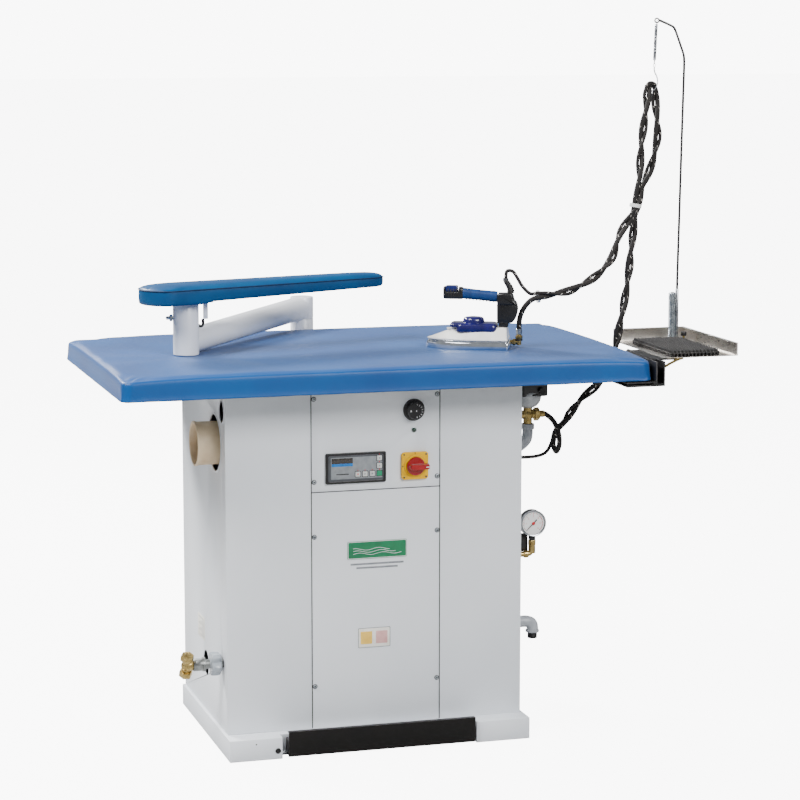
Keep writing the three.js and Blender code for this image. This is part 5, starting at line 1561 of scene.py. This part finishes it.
def make_hose_support():
    x, y = 815, -60
    straight = [(x, y, 903.8), (x, y, 1040), (x + 3, y, 1220), (x + 6, y, 1400), (x + 9, y, 1560)]
    crook = [(x + 9, y, 1580), (x + 7.5, y, 1594), (x + 2, y, 1610), (x - 14, y, 1651), (x - 20, y, 1661),
        (x - 30, y, 1666.5), (x - 44, y, 1672.5), (x - 58, y, 1678)]
    line = np.vstack([spline(straight, 60), spline(crook, 60)])
    sleeve = [(2.6, 901.8), (4.4, 901.8), (4.4, 960), (3.8, 1029), (3.2, 1030), (2.6, 1030)]
    ring = [
        [(x - 63 + (5.2 + 1.9 * math.cos(b)) * math.cos(a), y + 1.9 * math.sin(b),
                1677 + (5.2 + 1.9 * math.cos(b)) * math.sin(a))
         for b in np.linspace(0, 2 * math.pi, 12, endpoint=False)]
        for a in np.linspace(0, 2 * math.pi, 36, endpoint=False)
    ]
    build(
        "support_rod_bar",
        [(swept(line, 3.0, 18), "dark_rod"), (turned(sleeve, 28, closed=True), "bright_steel", at(x, y, 0)),
         (lofted(ring, closed=True), "dark_rod")],
        "base", "support_rod",
    )
    turns, wire, low, high = 44, 1.0, 1583.0, 1668.0
    coil = []
    for t in np.linspace(0, 1, turns * 16 + 1):
        a = 2 * math.pi * turns * t
        lean = 747.2 + 3.4 * t
        coil.append((lean + 3.0 * math.cos(a), y + 3.0 * math.sin(a), low + (high - low) * t))
    hang = spline([(750.6, y, 1667), (751.8, y, 1671.5), (752, y + 1.0, 1675), (754.5, y + 1.5, 1677)], 14)
    links = []
    for k in range(3):
        middle = 1579.0 - 8.4 * k
        oval = [(4.6 * math.cos(a), 2.3 * math.sin(a)) for a in np.linspace(0, 2 * math.pi, 25)]
        flat = [(747 + b if k % 2 else 747, y if k % 2 else y + b, middle + a) for a, b in oval]
        links.append((swept(flat, 0.75, 8), "bright_steel"))
    hook = [(747, y, 1560), (748, y - 1, 1554), (751, y - 4, 1546), (753, y - 7, 1536), (751, y - 9, 1524),
        (745, y - 6, 1513),
            (738, y, 1508.5), (731, y + 6, 1511), (728, y + 9, 1518), (728, y + 9, 1524)]
    build(
        "balance_spring_coil",
        [(swept(coil, wire, 6), "bright_steel"), (swept(hang, 0.8, 8), "bright_steel")]
        + links + [(swept(spline(hook, 70), 1.6, 12), "bright_steel")],
        "base", "balance_spring",
    )


# ---- steam hose and cable -----------------------------------------------------------------------
HOSE = {"radius": 6.3, "offset": 4.7}
CABLE = {"radius": 4.3, "offset": 6.4}
TWIST_TURNS = 9.8
PAIR_ROUTE = [
    (545, -6, 705), (574, -40, 763), (609, -60, 800), (638, -67, 836), (648, -76, 876), (650, -86, 916),
    (661, -90, 980), (679, -80, 1062), (693, -68, 1153), (711, -48, 1225), (727, -46, 1280), (748, -48, 1332),
    (762, -50, 1400), (759, -43, 1472), (757, -43, 1503), (752, -48, 1520), (740, -60, 1527),
    (728, -72, 1520),
    (723, -77, 1503), (721, -77, 1472), (712, -72, 1384), (709, -72, 1332), (706, -73, 1280),
    (698, -74, 1236),
    (684, -72, 1206), (658, -76, 1169), (634, -90, 1115), (599, -105, 1082), (554, -122, 1058),
    (512, -135, 1043),
    (465, -144, 1036), (424, -148, 1034),
]
HOSE_START = [
    (487.4, 0, 727), (498, 0, 726.6), (518, -7, 708), (528, -15, 680), (528, -21, 652), (527, -2, 632),
    (527, 19, 648),
    (532, 12, 678),
]
CABLE_START = [
    (379.4, -60, 634), (392, -60, 633.6), (408, -52, 632), (440, -26, 626), (482, 6, 622), (512, 28, 627),
    (528, 36, 648), (533, 26, 680),
]
HOSE_END = [(409, -145, 1024), (395, -136, 1006), (387, -128, 982), (386, -125, 960), (386.1, -124, 946.8)]
CABLE_END = [
    (405, -148, 1040), (387, -145, 1057), (375, -141, 1078), (366, -137, 1092), (354.1, -132.1, 1094),
    (350.8, -130.7, 1086),
    (350.8, -130.7, 1076.7),
]
TIE = (698, -74, 1236)


def wound(offset, side):
    """One of the two cords where they are twisted round each other."""
    places = round(8 * TWIST_TURNS)
    line = spline(PAIR_ROUTE, places + 1)
    along = np.gradient(line, axis=0)
    points = []
    for i, (centre, tangent) in enumerate(zip(line, along)):
        t = tangent / np.linalg.norm(tangent)
        first = np.array([0.0, 1.0, 0.0]) - t[1] * t
        first /= np.linalg.norm(first)
        second = np.cross(t, first)
        turn = math.pi + side + 2 * math.pi * TWIST_TURNS * i / places
        points.append(tuple(centre + offset * (math.cos(turn) * first + math.sin(turn) * second)))
    return points


def length_of(line):
    return float(np.linalg.norm(np.diff(np.array(line), axis=0), axis=1).sum())


def cord_piece(name, line, radius, start, stands_for):
    """A braided cord with a map that runs along it and round it."""
    sides = 16
    points, faces = swept(line, radius, sides)
    mesh = bpy.data.meshes.new(name)
    mesh.from_pydata([tuple(MM * c for c in p) for p in points], [], [f[::-1] for f in faces])
    mesh.materials.append(FINISH["cord_braid"][0])
    mesh.shade_smooth()
    along = MM * (start + np.concatenate([[0],
                np.cumsum(np.linalg.norm(np.diff(np.array(line), axis=0), axis=1))]))
    places = mesh.uv_layers.new(name="along")
    for face in mesh.polygons:
        around = [mesh.loops[k].vertex_index % sides for k in face.loop_indices]
        wraps = sides - 1 in around and 0 in around and len(around) == 4
        for k, a in zip(face.loop_indices, around):
            ring = mesh.loops[k].vertex_index // sides
            turn = 1.0 if wraps and a == 0 else a / sides
            places.data[k].uv = (along[ring], turn)
    piece = bpy.data.objects.new(name, mesh)
    bpy.context.scene.collection.objects.link(piece)
    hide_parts(stands_for)
    return piece


def make_cords():
    for kind, size, side, head, tail, node in (
        ("steam_hose", HOSE, 0.0, HOSE_START, HOSE_END, "steam_hose"),
        ("iron_cable", CABLE, math.pi, CABLE_START, CABLE_END, "iron_cable"),
    ):
        route = head + wound(size["offset"], side) + tail
        rough = spline(route, 200)
        line = spline(route, int(length_of(rough) / 3.6))
        half = len(line) // 2
        cut = half + int(np.argmin(np.linalg.norm(line[half:] - np.array(TIE), axis=1)))
        below, above = line[: cut + 1], line[cut:]
        lower = cord_piece(kind + "_lower", below, size["radius"], 0.0, node)
        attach(lower, "base")
        upper = cord_piece(kind + "_upper", above, size["radius"], length_of(below), node)
        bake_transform(upper)
        for piece, way in ((lower, below), (upper, above[::-1])):
            length_of(way) * MM
            [tuple(p * MM) for p in way]


def make_ties():
    band = lambda rx, ry: [(rx * c, ry * s) for c, s in circle(1.0, 40)]
    high = [
        [(x * k, y * k, z) for x, y in band(12.0, 15.5)]
        for k, z in ((0.94, -4.4), (1.0, -3.8), (1.0, 3.8), (0.94, 4.4), (0.8, 4.4), (0.8, -4.4))
    ]
    way = Vector((698, -74, 1236)) - Vector((706, -73, 1280))
    place = Matrix.Translation(TIE) @ way.to_track_quat("Z", "Y").to_matrix().to_4x4()
    build("cord_tie_high", [(lofted(high, closed=True), "tie_white")], "base", place=place)
    low = [
        [(x * k, y * k, z) for x, y in band(12.6, 15.2)]
        for k, z in ((0.95, -3.4), (1.0, -2.8), (1.0, 2.8), (0.95, 3.4), (0.82, 3.4), (0.82, -3.4))
    ]
    lean = Vector((434, -74, 1023)) - Vector((470, -75, 1025.5))
    place = Matrix.Translation((451, -75, 1024)) @ lean.to_track_quat("Z", "Y").to_matrix().to_4x4()
    build("cord_tie_low", [(lofted(low, closed=True), "tie_white")], "iron", place=place)


# ---- the whole machine --------------------------------------------------------------------------
make_finishes()
set_camera()
set_light()
set_floor()
make_cords()
make_ties()
make_cabinet()
make_pedal()
make_badges()
make_controller()
make_switch()
make_thermostat()
make_left_side()
make_steam_valve()
make_cable_gland()
make_gauge()
make_supply()
make_table()
make_sleeve_board()
make_sleeve_arm()
make_iron()
make_tray()
make_hose_support()
